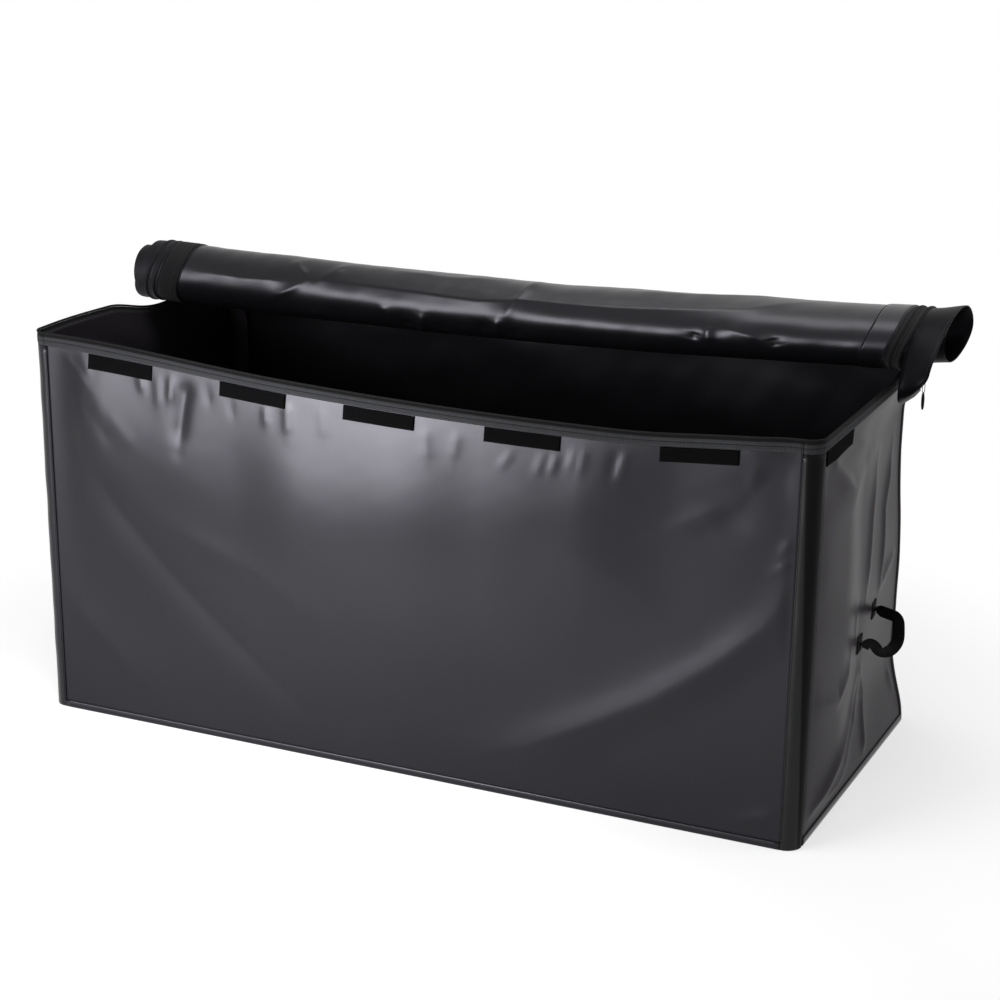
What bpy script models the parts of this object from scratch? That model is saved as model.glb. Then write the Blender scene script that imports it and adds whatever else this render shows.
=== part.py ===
"""Soft box bag for a hitch cargo carrier, standing open with its zip lid rolled to the back edge.

Metres, +Z up. The origin is at the middle of the underside, +X runs along the front, +Y to the back.
Walls, floor, lid and skirts are coated fabric sheets. Each is an open surface with Solidify.
"""
import math

import bmesh
import bpy
from mathutils import Vector

# Bag body
WIDTH = 1.150
DEPTH = 0.508
HEIGHT = 0.560
SHEET = 0.0012
GAP = 0.0009
CORNER_R = 0.020
FLARE = 0.006
FRONT_BULGE = 0.022
FRONT_SAG = 0.016
FRONT_SAG_AT = 0.55
BACK_BULGE = 0.005
END_BULGE = 0.006
BACK_BOW = 0.021
LEFT_RIM_SAG = 0.022
LEFT_SAG_AT = 0.090
LEFT_SAG_HALF = 0.150
LEFT_LIFT = 0.009
LAYER = SHEET + GAP
LONG_STEPS = 16

# Seams and zip on the rim
RIM_TAPE = 0.0155
COIL_R = 0.0016
CORNER_LAP = 0.0015
BINDING = 0.0095
RIM_TAPE_TOP = HEIGHT - 2.0 * COIL_R - 0.0003
RIM_TAPE_LOW = RIM_TAPE_TOP - RIM_TAPE

# Loop strips under the rim
STRIP_HEIGHT = 0.020
STRIP_WIDTH = 0.105
STRIP_CENTRES = (-0.432, -0.2135, -0.018, 0.188, 0.4260)
STRIP_TOP = RIM_TAPE_LOW - GAP
END_STRIP_Y = (-0.230, -0.118)

# Handles
HANDLE_FRONT = (0.002, 0.202)
HANDLE_BACK = (0.085, 0.224)
HANDLE_OUT = 0.048
HANDLE_AXIS_OFF = 0.0058
STRAP = 0.0034
PATCH_SIZE = 0.024

# Zip slider on the right rim
SLIDER_Y = 0.195
SLIDER_LENGTH = 0.017
PULL_LENGTH = 0.046
TIP_LENGTH = 0.024
TIP_R = 0.0024
CORD_R = 0.0005

# Lid, rolled up with its underside out
LID_HALF = WIDTH / 2.0 - 0.006
SKIRT = 0.078
SKIRT_LEFT = 0.048
HINGE_Y = DEPTH / 2.0 + 0.0045
HINGE_Z = HEIGHT + 0.004
TURNS = 1.50
SKIRT_TURNS = 1.83
TIGHTEN = 0.17
ROLL_Y = (0.092, 0.110)
ROLL_Z = (0.590, 0.612)
ROLL_A = (0.050, 0.080)
ROLL_B = (0.046, 0.042)
ROLL_SAG = 0.012
SETTLE = (1.0, 3.0)
LID_TAPE = 0.032
DROOP = 0.036
FLAP = 0.045
LEAN = 0.018
DROOP_START = WIDTH / 2.0 + 0.019
LID_STEPS = 10
TURN_STEPS = 28


def smooth(value):
    """Ease from 0 to 1."""
    t = min(1.0, max(0.0, value))
    return t * t * (3.0 - 2.0 * t)


def bell(value):
    """One at 0, zero with no slope at -1 and 1."""
    return max(0.0, 1.0 - value * value) ** 2


def mix(pair, t):
    return pair[0] + (pair[1] - pair[0]) * t


def steps(start, end, count):
    return [start + (end - start) * i / count for i in range(count + 1)]


def end_x(y, z0):
    """Distance of an end wall from the middle plane, at depth y and height z0."""
    rise = z0 / HEIGHT
    hump = 4.0 * rise * (1.0 - rise)
    bulge = END_BULGE * bell(2.0 * y / DEPTH) * hump
    bow = BACK_BOW * smooth(0.5 + y / DEPTH) * smooth(rise / 0.20) * smooth((1.0 - rise) / 0.16)
    return WIDTH / 2.0 + FLARE * rise + bulge - bow


def end_point(side, y, z0, off=0.0):
    """Point on an end wall. The left rim gives way under the roll and stands higher at the front."""
    z = z0
    if side < 0:
        sag = LEFT_RIM_SAG * bell((y - LEFT_SAG_AT) / LEFT_SAG_HALF)
        lift = LEFT_LIFT * smooth((0.05 - y) / 0.25)
        z += (lift - sag) * (z0 / HEIGHT) ** 2
    return Vector((side * (end_x(y, z0) + off), y, z))


def panel_half(facing, z0):
    """Half width of the front (facing -1) or back (facing 1) panel between its rounded corners."""
    return end_x(facing * (DEPTH / 2.0 - CORNER_R), z0) - CORNER_R


def long_point(facing, u, z0, off=0.0):
    """Point on the front or back wall. The front swells out and its rim sags right of the middle."""
    rise = z0 / HEIGHT
    swell = math.sin(0.5 * math.pi * min(1.0, rise / 0.8))
    x = u * panel_half(facing, z0)
    if facing < 0:
        y = DEPTH / 2.0 + FRONT_BULGE * bell(u) * swell + off
        span = 1.0 + FRONT_SAG_AT if u < FRONT_SAG_AT else 1.0 - FRONT_SAG_AT
        sag = FRONT_SAG * bell((u - FRONT_SAG_AT) / span)
        lift = LEFT_LIFT * smooth((-u - 0.3) / 0.7)
        return Vector((x, -y, z0 + (lift - sag) * rise * rise))
    y = DEPTH / 2.0 + BACK_BULGE * bell(u) * 4.0 * rise * (1.0 - rise) + off
    return Vector((x, y, z0))


def corner_point(side, facing, run, z0, off=0.0):
    """Point round a vertical corner. run goes from -CORNER_LAP over the arc to arc + CORNER_LAP."""
    arc = 0.5 * math.pi * CORNER_R
    cx = panel_half(facing, z0)
    cy = DEPTH / 2.0 - CORNER_R
    angle = min(arc, max(0.0, run)) / CORNER_R
    x = cx + (CORNER_R + off) * math.sin(angle) + min(0.0, run)
    y = cy + (CORNER_R + off) * math.cos(angle) - max(0.0, run - arc)
    lift = LEFT_LIFT * (z0 / HEIGHT) ** 2 if side < 0 and facing < 0 else 0.0
    return Vector((side * x, facing * y, z0 + lift))


def roll_section(u, s):
    """Lid centre line at u across the bag: s in [-1, 0] is flat from the hinge, s in turns after that."""
    yc = mix(ROLL_Y, u)
    zc = mix(ROLL_Z, u) - ROLL_SAG * 4.0 * u * (1.0 - u)
    a = mix(ROLL_A, smooth(u))
    b = mix(ROLL_B, smooth(u))
    if s < 0.0:
        t = 1.0 + s
        settle = smooth(mix(SETTLE, u) * t)
        return (HINGE_Y - 0.0015 + (yc - HINGE_Y + 0.0015) * t, HINGE_Z + (zc - b - HINGE_Z) * settle)
    angle = 2.0 * math.pi * s
    r = 1.0 - TIGHTEN * s
    return (yc - a * r * math.sin(angle), zc - b * r * math.cos(angle))


def roll_point(x, s, out=0.0):
    """Point on the lid sheet; out moves it off the underside, which is the roll's outer side."""
    u = min(1.0, max(0.0, 0.5 + 0.5 * x / LID_HALF))
    step = 0.004
    back = roll_section(u, s - step) if s > -1.0 + step else roll_section(u, s)
    ahead = roll_section(u, s + step)
    ty = ahead[0] - back[0]
    tz = ahead[1] - back[1]
    length = math.hypot(ty, tz)
    y, z = roll_section(u, s)
    return Vector((x, y - out * tz / length, z + out * ty / length))


def skirt_point(side, x, s):
    """Point on an end skirt. On the right its outer turn hangs past the rim and flares to a free edge."""
    if side < 0:
        point = roll_point(-LID_HALF, s)
        point.x = -x
        return point
    outward = max(0.0, (x - DROOP_START) / (LID_HALF + SKIRT - DROOP_START))
    at = s + 0.4 * outward * max(0.0, 0.3 - s)
    point = roll_point(LID_HALF, at)
    point.x = x
    fall = smooth((x - DROOP_START) / 0.010) * (1.0 - 0.75 * outward)
    turn = smooth((at + 0.25) / 0.2) * smooth((0.42 - at) / 0.30)
    top = smooth((at - 0.3) / 0.3)
    point.z += 0.004 * outward * top - DROOP * fall * turn
    point.y += LEAN * outward * top - (0.35 * DROOP * fall + FLAP * smooth(outward)) * turn
    return point


def make_material(name, colour, roughness, metallic=0.0):
    material = bpy.data.materials.new(name)
    material.use_nodes = True
    shader = material.node_tree.nodes["Principled BSDF"]
    shader.inputs["Base Color"].default_value = (*colour, 1.0)
    shader.inputs["Roughness"].default_value = roughness
    shader.inputs["Metallic"].default_value = metallic
    material.diffuse_color = (*colour, 1.0)
    return material


LOOKS = {
    "panel": ((0.022, 0.022, 0.025), 0.42, 0.0),
    "seam": ((0.030, 0.030, 0.033), 0.50, 0.0),
    "tape": ((0.012, 0.012, 0.013), 0.80, 0.0),
    "loop": ((0.004, 0.004, 0.004), 0.95, 0.0),
    "webbing": ((0.003, 0.003, 0.003), 0.85, 0.0),
    "slider": ((0.010, 0.010, 0.011), 0.35, 0.9),
    "moulded": ((0.006, 0.006, 0.006), 0.55, 0.0),
}


def finish_object(obj, look, collection, parent=None):
    """Give an object its own material, its collection and its parent."""
    obj.data.materials.append(make_material(obj.name, *LOOKS[look]))
    collection.objects.link(obj)
    if parent is not None:
        obj.parent = parent
        obj.location = -parent.location


def sheet(name, surface, us, vs, look, collection, thickness=SHEET, parent=None):
    """A sheet: a grid placed on a surface function and thickened with Solidify."""
    bm = bmesh.new()
    bmesh.ops.create_grid(bm, x_segments=len(us) - 1, y_segments=len(vs) - 1, size=0.5)
    for vert in bm.verts:
        i = round((vert.co.x + 0.5) * (len(us) - 1))
        j = round((vert.co.y + 0.5) * (len(vs) - 1))
        vert.co = surface(us[i], vs[j])
    mesh = bpy.data.meshes.new(name)
    bm.to_mesh(mesh)
    bm.free()
    mesh.shade_smooth()
    obj = bpy.data.objects.new(name, mesh)
    solidify = obj.modifiers.new("thickness", "SOLIDIFY")
    solidify.thickness = thickness
    solidify.offset = 0.0
    solidify.use_even_offset = True
    finish_object(obj, look, collection, parent)
    return obj


def tube(name, points, radius, look, collection, parent=None, cyclic=False, resolution=1):
    """A round tube along points."""
    curve = bpy.data.curves.new(name, "CURVE")
    curve.dimensions = "3D"
    spline = curve.splines.new("POLY")
    spline.points.add(len(points) - 1)
    for target, point in zip(spline.points, points):
        target.co = (*point, 1.0)
    spline.use_cyclic_u = cyclic
    curve.bevel_depth = radius
    curve.bevel_resolution = resolution
    curve.use_fill_caps = not cyclic
    obj = bpy.data.objects.new(name, curve)
    finish_object(obj, look, collection, parent)
    return obj


def outline(name, points, thickness, look, collection, parent=None):
    """A flat plate from a closed outline, thickness along its local Z."""
    curve = bpy.data.curves.new(name, "CURVE")
    curve.dimensions = "2D"
    curve.fill_mode = "BOTH"
    curve.extrude = thickness / 2.0
    spline = curve.splines.new("POLY")
    spline.points.add(len(points) - 1)
    for target, point in zip(spline.points, points):
        target.co = (point[0], point[1], 0.0, 1.0)
    spline.use_cyclic_u = True
    obj = bpy.data.objects.new(name, curve)
    finish_object(obj, look, collection, parent)
    return obj


def box(name, centre, size, bevel, look, collection, parent=None):
    bm = bmesh.new()
    bmesh.ops.create_cube(bm, size=1.0)
    for vert in bm.verts:
        vert.co = Vector((vert.co.x * size[0], vert.co.y * size[1], vert.co.z * size[2]))
    mesh = bpy.data.meshes.new(name)
    bm.to_mesh(mesh)
    bm.free()
    obj = bpy.data.objects.new(name, mesh)
    obj.location = centre
    rounding = obj.modifiers.new("rounding", "BEVEL")
    rounding.width = bevel
    rounding.segments = 2
    obj.data.materials.append(make_material(name, *LOOKS[look]))
    collection.objects.link(obj)
    if parent is not None:
        obj.parent = parent
        obj.location = Vector(centre) - parent.location
    return obj


def pivot(name, place, collection):
    empty = bpy.data.objects.new(name, None)
    empty.location = place
    empty.empty_display_size = 0.05
    collection.objects.link(empty)
    return empty


def build_floor(collection):
    """Floor panel with rounded corners, flat on the ground."""
    points = []
    for side, facing, start in ((1, -1, -90), (1, 1, 0), (-1, 1, 90), (-1, -1, 180)):
        for step in range(7):
            angle = math.radians(start + 15 * step)
            radius = CORNER_R + SHEET / 2.0
            x = side * (WIDTH / 2.0 - CORNER_R) + radius * math.cos(angle)
            y = facing * (DEPTH / 2.0 - CORNER_R) + radius * math.sin(angle)
            points.append((x, y))
    floor = outline("bottom_panel", points, SHEET, "panel", collection)
    floor.location.z = SHEET / 2.0


def build_walls(collection):
    foot = SHEET + GAP
    zip_top = HEIGHT - 0.0095
    rows = [foot, 0.012] + steps(0.040, HEIGHT - 0.042, 11) + [HEIGHT - 0.026, zip_top]
    sides = steps(-(DEPTH / 2.0 - CORNER_R), DEPTH / 2.0 - CORNER_R, 12)
    long_us = steps(-1.0, 1.0, LONG_STEPS)

    def front(u, z0):
        return long_point(-1, u, z0)

    def back(u, z0):
        return long_point(1, u, z0)

    sheet("front_panel", front, long_us, rows, "panel", collection)
    sheet("back_panel", back, long_us, rows[:-1] + [HEIGHT - 0.002], "panel", collection)
    for side, word in ((-1, "left"), (1, "right")):
        def end(y, z0, side=side):
            return end_point(side, y, z0)
        sheet(word + "_end_panel", end, sides, rows, "panel", collection)

    low = 0.0008
    arc = 0.5 * math.pi * CORNER_R
    runs = [-CORNER_LAP] + steps(0.0, arc, 5) + [arc + CORNER_LAP]
    for side, word in ((-1, "left"), (1, "right")):
        for facing, place in ((-1, "front"), (1, "back")):
            top = STRIP_TOP if facing < 0 else HEIGHT - 0.001

            def corner(run, z0, side=side, facing=facing):
                return corner_point(side, facing, run, z0, LAYER)
            name = "corner_seam_" + place + "_" + word
            sheet(name, corner, runs, [low] + rows[1:-1] + [top], "seam", collection)

    heights = steps(low, low + BINDING, 1)
    for facing, place in ((-1, "front"), (1, "back")):
        reach = 1.0 - (CORNER_LAP + GAP) / panel_half(facing, 0.0)

        def binding(u, z0, facing=facing, reach=reach):
            return long_point(facing, u * reach, z0, LAYER)
        sheet("base_binding_" + place, binding, long_us, heights, "seam", collection)
    length = DEPTH / 2.0 - CORNER_R - CORNER_LAP - GAP
    for side, word in ((-1, "left"), (1, "right")):
        def end_binding(y, z0, side=side):
            return end_point(side, y, z0, LAYER)
        sheet("base_binding_" + word, end_binding, steps(-length, length, 12), heights, "seam", collection)


def build_rim(collection):
    """Zip tape round three sides of the rim with one coil on its edge, and a hem along the back."""
    heights = steps(RIM_TAPE_LOW, RIM_TAPE_TOP, 2)
    us = steps(-1.0, 1.0, LONG_STEPS)
    arc = 0.5 * math.pi * CORNER_R
    ys = steps(-(DEPTH / 2.0 - CORNER_R - 0.0003), DEPTH / 2.0 - CORNER_R - CORNER_LAP - 0.0064, 12)

    def front(u, z0):
        return long_point(-1, u * 0.9995, z0, LAYER)
    sheet("rim_tape_front", front, us, heights, "tape", collection)
    for side, word in ((-1, "left"), (1, "right")):
        def end(y, z0, side=side):
            return end_point(side, y, z0, LAYER)

        def corner(run, z0, side=side):
            return corner_point(side, -1, run, z0, LAYER)
        sheet("rim_tape_" + word, end, ys, heights, "tape", collection)
        sheet("rim_tape_corner_" + word, corner, steps(0.0, arc, 5), heights, "tape", collection)

    def hem(u, z0):
        return long_point(1, u * (1.0 - (CORNER_LAP + GAP) / panel_half(1, HEIGHT)), z0, LAYER)
    sheet("back_hem", hem, us, steps(HEIGHT - 0.026, HEIGHT + 0.0024, 2), "seam", collection)

    z0 = HEIGHT - COIL_R
    path = [end_point(-1, y, z0, LAYER) for y in reversed(ys)]
    path += [corner_point(-1, -1, run, z0, LAYER) for run in steps(arc, 0.0, 5)]
    path += [long_point(-1, u * 0.9995, z0, LAYER) for u in us]
    path += [corner_point(1, -1, run, z0, LAYER) for run in steps(0.0, arc, 5)]
    path += [end_point(1, y, z0, LAYER) for y in ys]
    tube("rim_zip_coil", path, COIL_R, "tape", collection)
    for side, word in ((-1, "left"), (1, "right")):
        spot = end_point(side, ys[-1], z0, LAYER)
        centre = (spot.x, spot.y + 0.0028, spot.z)
        box("zip_stop_" + word, centre, (0.0042, 0.0048, 0.0048), 0.0008, "moulded", collection)


def build_strips(collection):
    """Loop strips sewn below the rim, five on the front and one on each end."""
    heights = steps(STRIP_TOP - STRIP_HEIGHT, STRIP_TOP, 1)
    half = panel_half(-1, STRIP_TOP)
    for number, centre in enumerate(STRIP_CENTRES, 1):
        reach = steps((centre - STRIP_WIDTH / 2.0) / half, (centre + STRIP_WIDTH / 2.0) / half, 4)

        def strip(u, z0):
            return long_point(-1, u, z0, LAYER)
        sheet("loop_strip_front_%d" % number, strip, reach, heights, "loop", collection)
    for side, word in ((-1, "left"), (1, "right")):
        def end_strip(y, z0, side=side):
            return end_point(side, y, z0, LAYER)
        sheet("loop_strip_" + word, end_strip, steps(*END_STRIP_Y, 4), heights, "loop", collection)


def build_handle(side, word, collection):
    """Webbing loop on an end wall with a sewn patch under each root."""
    front = end_point(side, *HANDLE_FRONT, HANDLE_AXIS_OFF)
    back = end_point(side, *HANDLE_BACK, HANDLE_AXIS_OFF)
    along = (back - front).normalized()
    out = Vector((side, 0.0, 0.0))
    out = (out - along * out.dot(along)).normalized()
    up = out.cross(along) * side
    middle = (front + back) / 2.0
    half = (back - front).length / 2.0
    hinge = pivot("handle_hinge_" + word, middle, collection)

    def strap(s, w):
        reach = math.sin(math.pi * s) ** 0.45
        neck = 0.0052 + 0.0033 * smooth(min(s, 1.0 - s) / 0.08)
        drop = 0.018 * math.sin(math.pi * s ** 0.8) ** 1.3
        across = -half * math.cos(math.pi * s)
        return middle + along * across + out * (HANDLE_OUT * reach) + up * (w * neck - drop)
    path = [0.5 - 0.5 * math.cos(math.pi * i / 22) for i in range(23)]
    sheet("handle_" + word, strap, path, steps(-1.0, 1.0, 2), "webbing", collection, STRAP, hinge)
    for place, spot in (("front", HANDLE_FRONT), ("back", HANDLE_BACK)):
        ys = steps(spot[0] - PATCH_SIZE / 2.0, spot[0] + PATCH_SIZE / 2.0, 2)
        zs = steps(spot[1] - PATCH_SIZE / 2.0, spot[1] + PATCH_SIZE / 2.0, 2)

        def patch(y, z0):
            return end_point(side, y, z0, LAYER)
        sheet("handle_patch_%s_%s" % (place, word), patch, ys, zs, "webbing", collection)


def build_slider(collection):
    """Zip slider astride the right rim, with its bridge, and a pull that hangs through the bridge."""
    seat = end_point(1, SLIDER_Y, HEIGHT - COIL_R, LAYER)
    carriage = pivot("slider_carriage", seat, collection)
    inner, outer = 0.0022, 0.0033
    low, high, lip = -0.0062, 0.0072, 0.0010
    web_low, web_high = COIL_R + 0.0006, COIL_R + 0.0022
    lip_in = 0.0013
    upper = [
        (outer, low), (outer, high), (lip_in, high), (lip_in, high - lip), (inner, high - lip), (inner, web_high),
    ]
    lower = [(inner, web_low), (inner, low + lip), (lip_in, low + lip), (lip_in, low)]
    mirrored = [(-n, z) for n, z in reversed(upper)] + [(-n, z) for n, z in reversed(lower)]
    points = upper + mirrored + lower
    body = outline("zip_slider_plates", points, SLIDER_LENGTH, "slider", collection)
    body.rotation_euler = (math.radians(90.0), 0.0, 0.0)
    bpy.context.view_layer.update()
    plates = bpy.data.meshes.new_from_object(body.evaluated_get(bpy.context.evaluated_depsgraph_get()))
    bm = bmesh.new()
    bm.from_mesh(plates)
    bmesh.ops.remove_doubles(bm, verts=bm.verts, dist=0.000001)
    bm.transform(body.matrix_world)
    bm.to_mesh(plates)
    bm.free()
    bpy.data.objects.remove(body)

    bridge_n, bridge_half = 0.0062, 0.0064
    arch = []
    for step in range(9):
        angle = math.pi * step / 8
        reach = math.sin(angle) ** 0.3 if 0 < step < 8 else 0.0
        arch.append((outer - 0.0006 + (bridge_n - outer + 0.0006) * reach, -bridge_half * math.cos(angle), 0.0))
    holder = bpy.data.curves.new("bridge", "CURVE")
    holder.dimensions = "3D"
    spline = holder.splines.new("POLY")
    spline.points.add(len(arch) - 1)
    for target, point in zip(spline.points, arch):
        target.co = (*point, 1.0)
    holder.bevel_depth = 0.0008
    holder.bevel_resolution = 1
    holder.use_fill_caps = True
    bar = bpy.data.objects.new("bridge", holder)
    collection.objects.link(bar)
    bpy.context.view_layer.update()
    bar_mesh = bpy.data.meshes.new_from_object(bar.evaluated_get(bpy.context.evaluated_depsgraph_get()))
    bm = bmesh.new()
    bm.from_mesh(bar_mesh)
    bmesh.ops.remove_doubles(bm, verts=bm.verts, dist=0.000001)
    bm.to_mesh(bar_mesh)
    bm.free()
    bpy.data.objects.remove(bar)

    tools = bpy.data.collections.new("shape_tools")
    bpy.context.scene.collection.children.link(tools)
    arch_tool = bpy.data.objects.new("bridge_tool", bar_mesh)
    arch_tool.hide_render = True
    arch_tool.display_type = "WIRE"
    tools.objects.link(arch_tool)
    slider = bpy.data.objects.new("zip_slider", plates)
    plates.materials.clear()
    finish_object(slider, "slider", collection)
    slider.parent = carriage
    slider.location = (0.0, 0.0, 0.0)
    arch_tool.parent = carriage
    union = slider.modifiers.new("bridge", "BOOLEAN")
    union.operation = "UNION"
    union.object = arch_tool

    # The cord lies over the bridge, and the pull swings about the top of its loop
    inside = 0.0017
    centre = seat + Vector((bridge_n, 0.0, 0.0))
    swing = pivot("pull_swing", centre + Vector((0.0, 0.0, inside)), collection)
    loop = []
    for step in range(9):
        angle = math.pi * step / 8
        loop.append(centre + Vector((inside * math.cos(angle), 0.0, inside * math.sin(angle))))
    for step in range(9):
        angle = math.pi + math.pi * step / 8
        drop = -PULL_LENGTH + inside
        loop.append(centre + Vector((inside * math.cos(angle), 0.0, drop + inside * math.sin(angle))))
    tube("zip_pull_loop", loop, CORD_R, "webbing", collection, swing, cyclic=True)
    top = centre.z - PULL_LENGTH - CORD_R - 0.0003
    tip = []
    for step in range(7):
        tip.append(Vector((centre.x, centre.y, top - TIP_LENGTH * step / 6.0)))
    obj = tube("zip_pull_tip", tip, TIP_R, "moulded", collection, swing)
    for index, point in enumerate(obj.data.splines[0].points):
        point.radius = (0.62, 0.86, 1.0, 1.0, 0.96, 0.86, 0.55)[index]


def build_lid(collection):
    """Lid sheet rolled up with its underside out, end and front skirts, and the zip tape of its edges."""
    hinge = pivot("lid_hinge", (0.0, HINGE_Y, HINGE_Z), collection)
    flat = [-1.0, -0.9, -0.8, -0.7, -0.6, -0.45, -0.3, -0.15]
    turns = steps(0.0, TURNS, TURN_STEPS)
    main = flat + turns
    xs = steps(-LID_HALF, LID_HALF, LID_STEPS)
    sheet("lid_sheet", roll_point, xs, main, "panel", collection, parent=hinge)
    inner = steps(TURNS + 0.006, SKIRT_TURNS, 8)
    sheet("lid_skirt_front", roll_point, xs, inner, "panel", collection, parent=hinge)

    def front_tape(x, s):
        return roll_point(x, s, LAYER)
    reach = steps(-LID_HALF + 0.07, LID_HALF - 0.07, LID_STEPS)
    sheet("lid_zip_tape_front", front_tape, reach, steps(TURNS + 0.02, TURNS + 0.14, 3), "tape",
          collection, parent=hinge)

    # A bound seam band joins each skirt to the lid. Only the skirt beyond it gives way
    seam_edge = DROOP_START - 0.0015
    band = [LID_HALF + 0.0004, seam_edge]
    skirt_start = seam_edge + 0.0003
    xs = [skirt_start, DROOP_START] + steps(DROOP_START + 0.003, DROOP_START + 0.009, 2)
    xs += steps(DROOP_START + 0.016, LID_HALF + SKIRT, 3)
    around = flat[2:] + turns
    hanging = [-0.05] + turns
    tape_around = flat[4:] + turns[:-1]
    for side, word in ((-1, "left"), (1, "right")):
        def skirt(x, s, side=side):
            return skirt_point(side, x, s)

        def tape(x, s, side=side):
            return roll_point(side * x, s, LAYER)

        def seam_band(x, s, side=side):
            return roll_point(side * x, s)
        places = steps(skirt_start, LID_HALF + SKIRT_LEFT, 2) if side < 0 else xs
        turned = around if side < 0 else hanging
        sheet("lid_skirt_" + word, skirt, places, turned, "panel", collection, parent=hinge)
        sheet("lid_seam_band_" + word, seam_band, band, around, "seam", collection, parent=hinge)
        edge = LID_HALF - 0.002
        sheet("lid_zip_tape_" + word, tape, steps(edge - LID_TAPE, edge, 2), tape_around, "tape",
              collection, parent=hinge)
        lift = SHEET / 2.0 + COIL_R + GAP + 0.0003
        coil = [roll_point(side * (edge - LID_TAPE - COIL_R - 0.0003), s, lift) for s in tape_around]
        tube("lid_zip_coil_" + word, coil, COIL_R, "tape", collection, hinge)

    half = STRIP_WIDTH / 2.0
    for number, centre in enumerate(STRIP_CENTRES, 1):
        def hook(x, s):
            return roll_point(x, s, -LAYER)
        span = steps(centre - half, centre + half, 4)
        sheet("hook_strip_front_%d" % number, hook, span, steps(1.72, 1.80, 2), "loop", collection,
              parent=hinge)


def main():
    for obj in list(bpy.data.objects):
        bpy.data.objects.remove(obj)
    collection = bpy.data.collections.new("hitch_cargo_bag")
    bpy.context.scene.collection.children.link(collection)
    build_floor(collection)
    build_walls(collection)
    build_rim(collection)
    build_strips(collection)
    build_handle(-1, "left", collection)
    build_handle(1, "right", collection)
    build_slider(collection)
    build_lid(collection)


main()
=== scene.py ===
"""Looks of a soft box bag for a hitch cargo rack, standing open with its zip lid rolled to the back.

Metres, +Z up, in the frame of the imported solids. Every sheet follows the surface of the solid that it
replaces and adds the belly, folds, seams, stitches and finishes of the coated fabric.
"""

import math
from functools import partial

import bpy
import numpy as np
from mathutils import Matrix, Vector


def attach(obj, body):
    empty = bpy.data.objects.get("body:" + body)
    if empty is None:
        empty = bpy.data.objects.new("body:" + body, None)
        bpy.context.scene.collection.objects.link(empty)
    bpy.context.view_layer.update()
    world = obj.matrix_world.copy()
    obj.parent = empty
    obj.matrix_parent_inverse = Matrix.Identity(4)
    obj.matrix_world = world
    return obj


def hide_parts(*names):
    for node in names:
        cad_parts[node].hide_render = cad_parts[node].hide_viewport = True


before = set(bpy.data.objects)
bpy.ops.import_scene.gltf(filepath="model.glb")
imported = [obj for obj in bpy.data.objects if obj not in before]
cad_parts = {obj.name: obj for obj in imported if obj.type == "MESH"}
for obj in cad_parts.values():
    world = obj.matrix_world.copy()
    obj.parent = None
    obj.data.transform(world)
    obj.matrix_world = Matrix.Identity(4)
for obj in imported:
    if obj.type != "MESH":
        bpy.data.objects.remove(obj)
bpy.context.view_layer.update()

# Bag body, as in the solids
WIDTH = 1.150
DEPTH = 0.508
HEIGHT = 0.560
SHEET = 0.0012
GAP = 0.0009
LAYER = SHEET + GAP
CORNER_R = 0.020
CORNER_ARC = 0.5 * math.pi * CORNER_R
FLARE = 0.006
FRONT_BULGE = 0.022
FRONT_SAG = 0.016
FRONT_SAG_AT = 0.55
BACK_BULGE = 0.005
END_BULGE = 0.006
BACK_BOW = 0.021
LEFT_RIM_SAG = 0.022
LEFT_SAG_AT = 0.090
LEFT_SAG_HALF = 0.150
LEFT_LIFT = 0.009
DRAW_IN = 0.009
# End walls beside the front corners: how far and how steeply they stand out, from this share of the turn
ROUND_OUT = 0.011
ROUND_SLOPE = 0.17
ROUND_START = 0.6
CORNER_LAP = 0.0015
BINDING = 0.0095
FOOT = 0.0008
# Thickness of a sewn lap and of loop pile, and how far a lap and what lies on it stand off the wall
LAP = 0.0018
PILE = 0.0022
OUTER = SHEET / 2.0 + 0.0009
OVER = OUTER + 0.0007
SIDES = ((-1, "left"), (1, "right"))

# Zip and loop strips on the rim, and the sewing
COIL_R = 0.0016
COIL_PITCH = 0.0018
RIM_TAPE_TOP = HEIGHT - 2.0 * COIL_R - 0.0003
RIM_TAPE_LOW = RIM_TAPE_TOP - 0.0155
STRIP_HEIGHT = 0.020
STRIP_WIDTH = 0.105
STRIP_CENTRES = (-0.432, -0.2135, -0.018, 0.188, 0.4260)
STRIP_TOP = RIM_TAPE_LOW - GAP
END_STRIP_Y = (-0.230, -0.118)
END_HALF = DEPTH / 2.0 - CORNER_R
STITCH_PITCH = 0.0044
STITCH_LENGTH = 0.0031
STITCH_R = 0.00034

# Handles
HANDLE_FRONT = (0.002, 0.202)
HANDLE_BACK = (0.085, 0.224)
HANDLE_AXIS_OFF = 0.0058
STRAP = 0.0034
STRAP_HALF = 0.0085
STRAP_ROOT = 0.0050
PATCH_SIZE = 0.024
# Corners of the right strap's middle line, from its back root to its front root
STRAP_LINE = ((0.6094, 0.064, 0.2253), (0.6130, 0.058, 0.1933), (0.6050, 0.044, 0.1813),
              (0.5933, 0.030, 0.1835), (0.5901, 0.0126, 0.2012))

# Lid, rolled up with its underside out
LID_HALF = WIDTH / 2.0 - 0.006
SKIRT = {-1: 0.040, 1: 0.078}
SLANT = 0.020
HINGE_Y = DEPTH / 2.0 + 0.0045
HINGE_Z = HEIGHT + 0.004
TURNS = 1.50
SKIRT_TURNS = 1.83
TIGHTEN = 0.17
ROLL_Y = (0.092, 0.110)
ROLL_Z = (0.590, 0.612)
ROLL_A = (0.050, 0.080)
ROLL_B = (0.046, 0.042)
ROLL_SAG = 0.012
SETTLE = (1.0, 3.0)
LID_TAPE = 0.032
DROOP = 0.036
FLAP = 0.045
LEAN = 0.018
DROOP_START = WIDTH / 2.0 + 0.019
SEAM_EDGE = DROOP_START - 0.0015
TURN_LENGTH = 0.34

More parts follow.
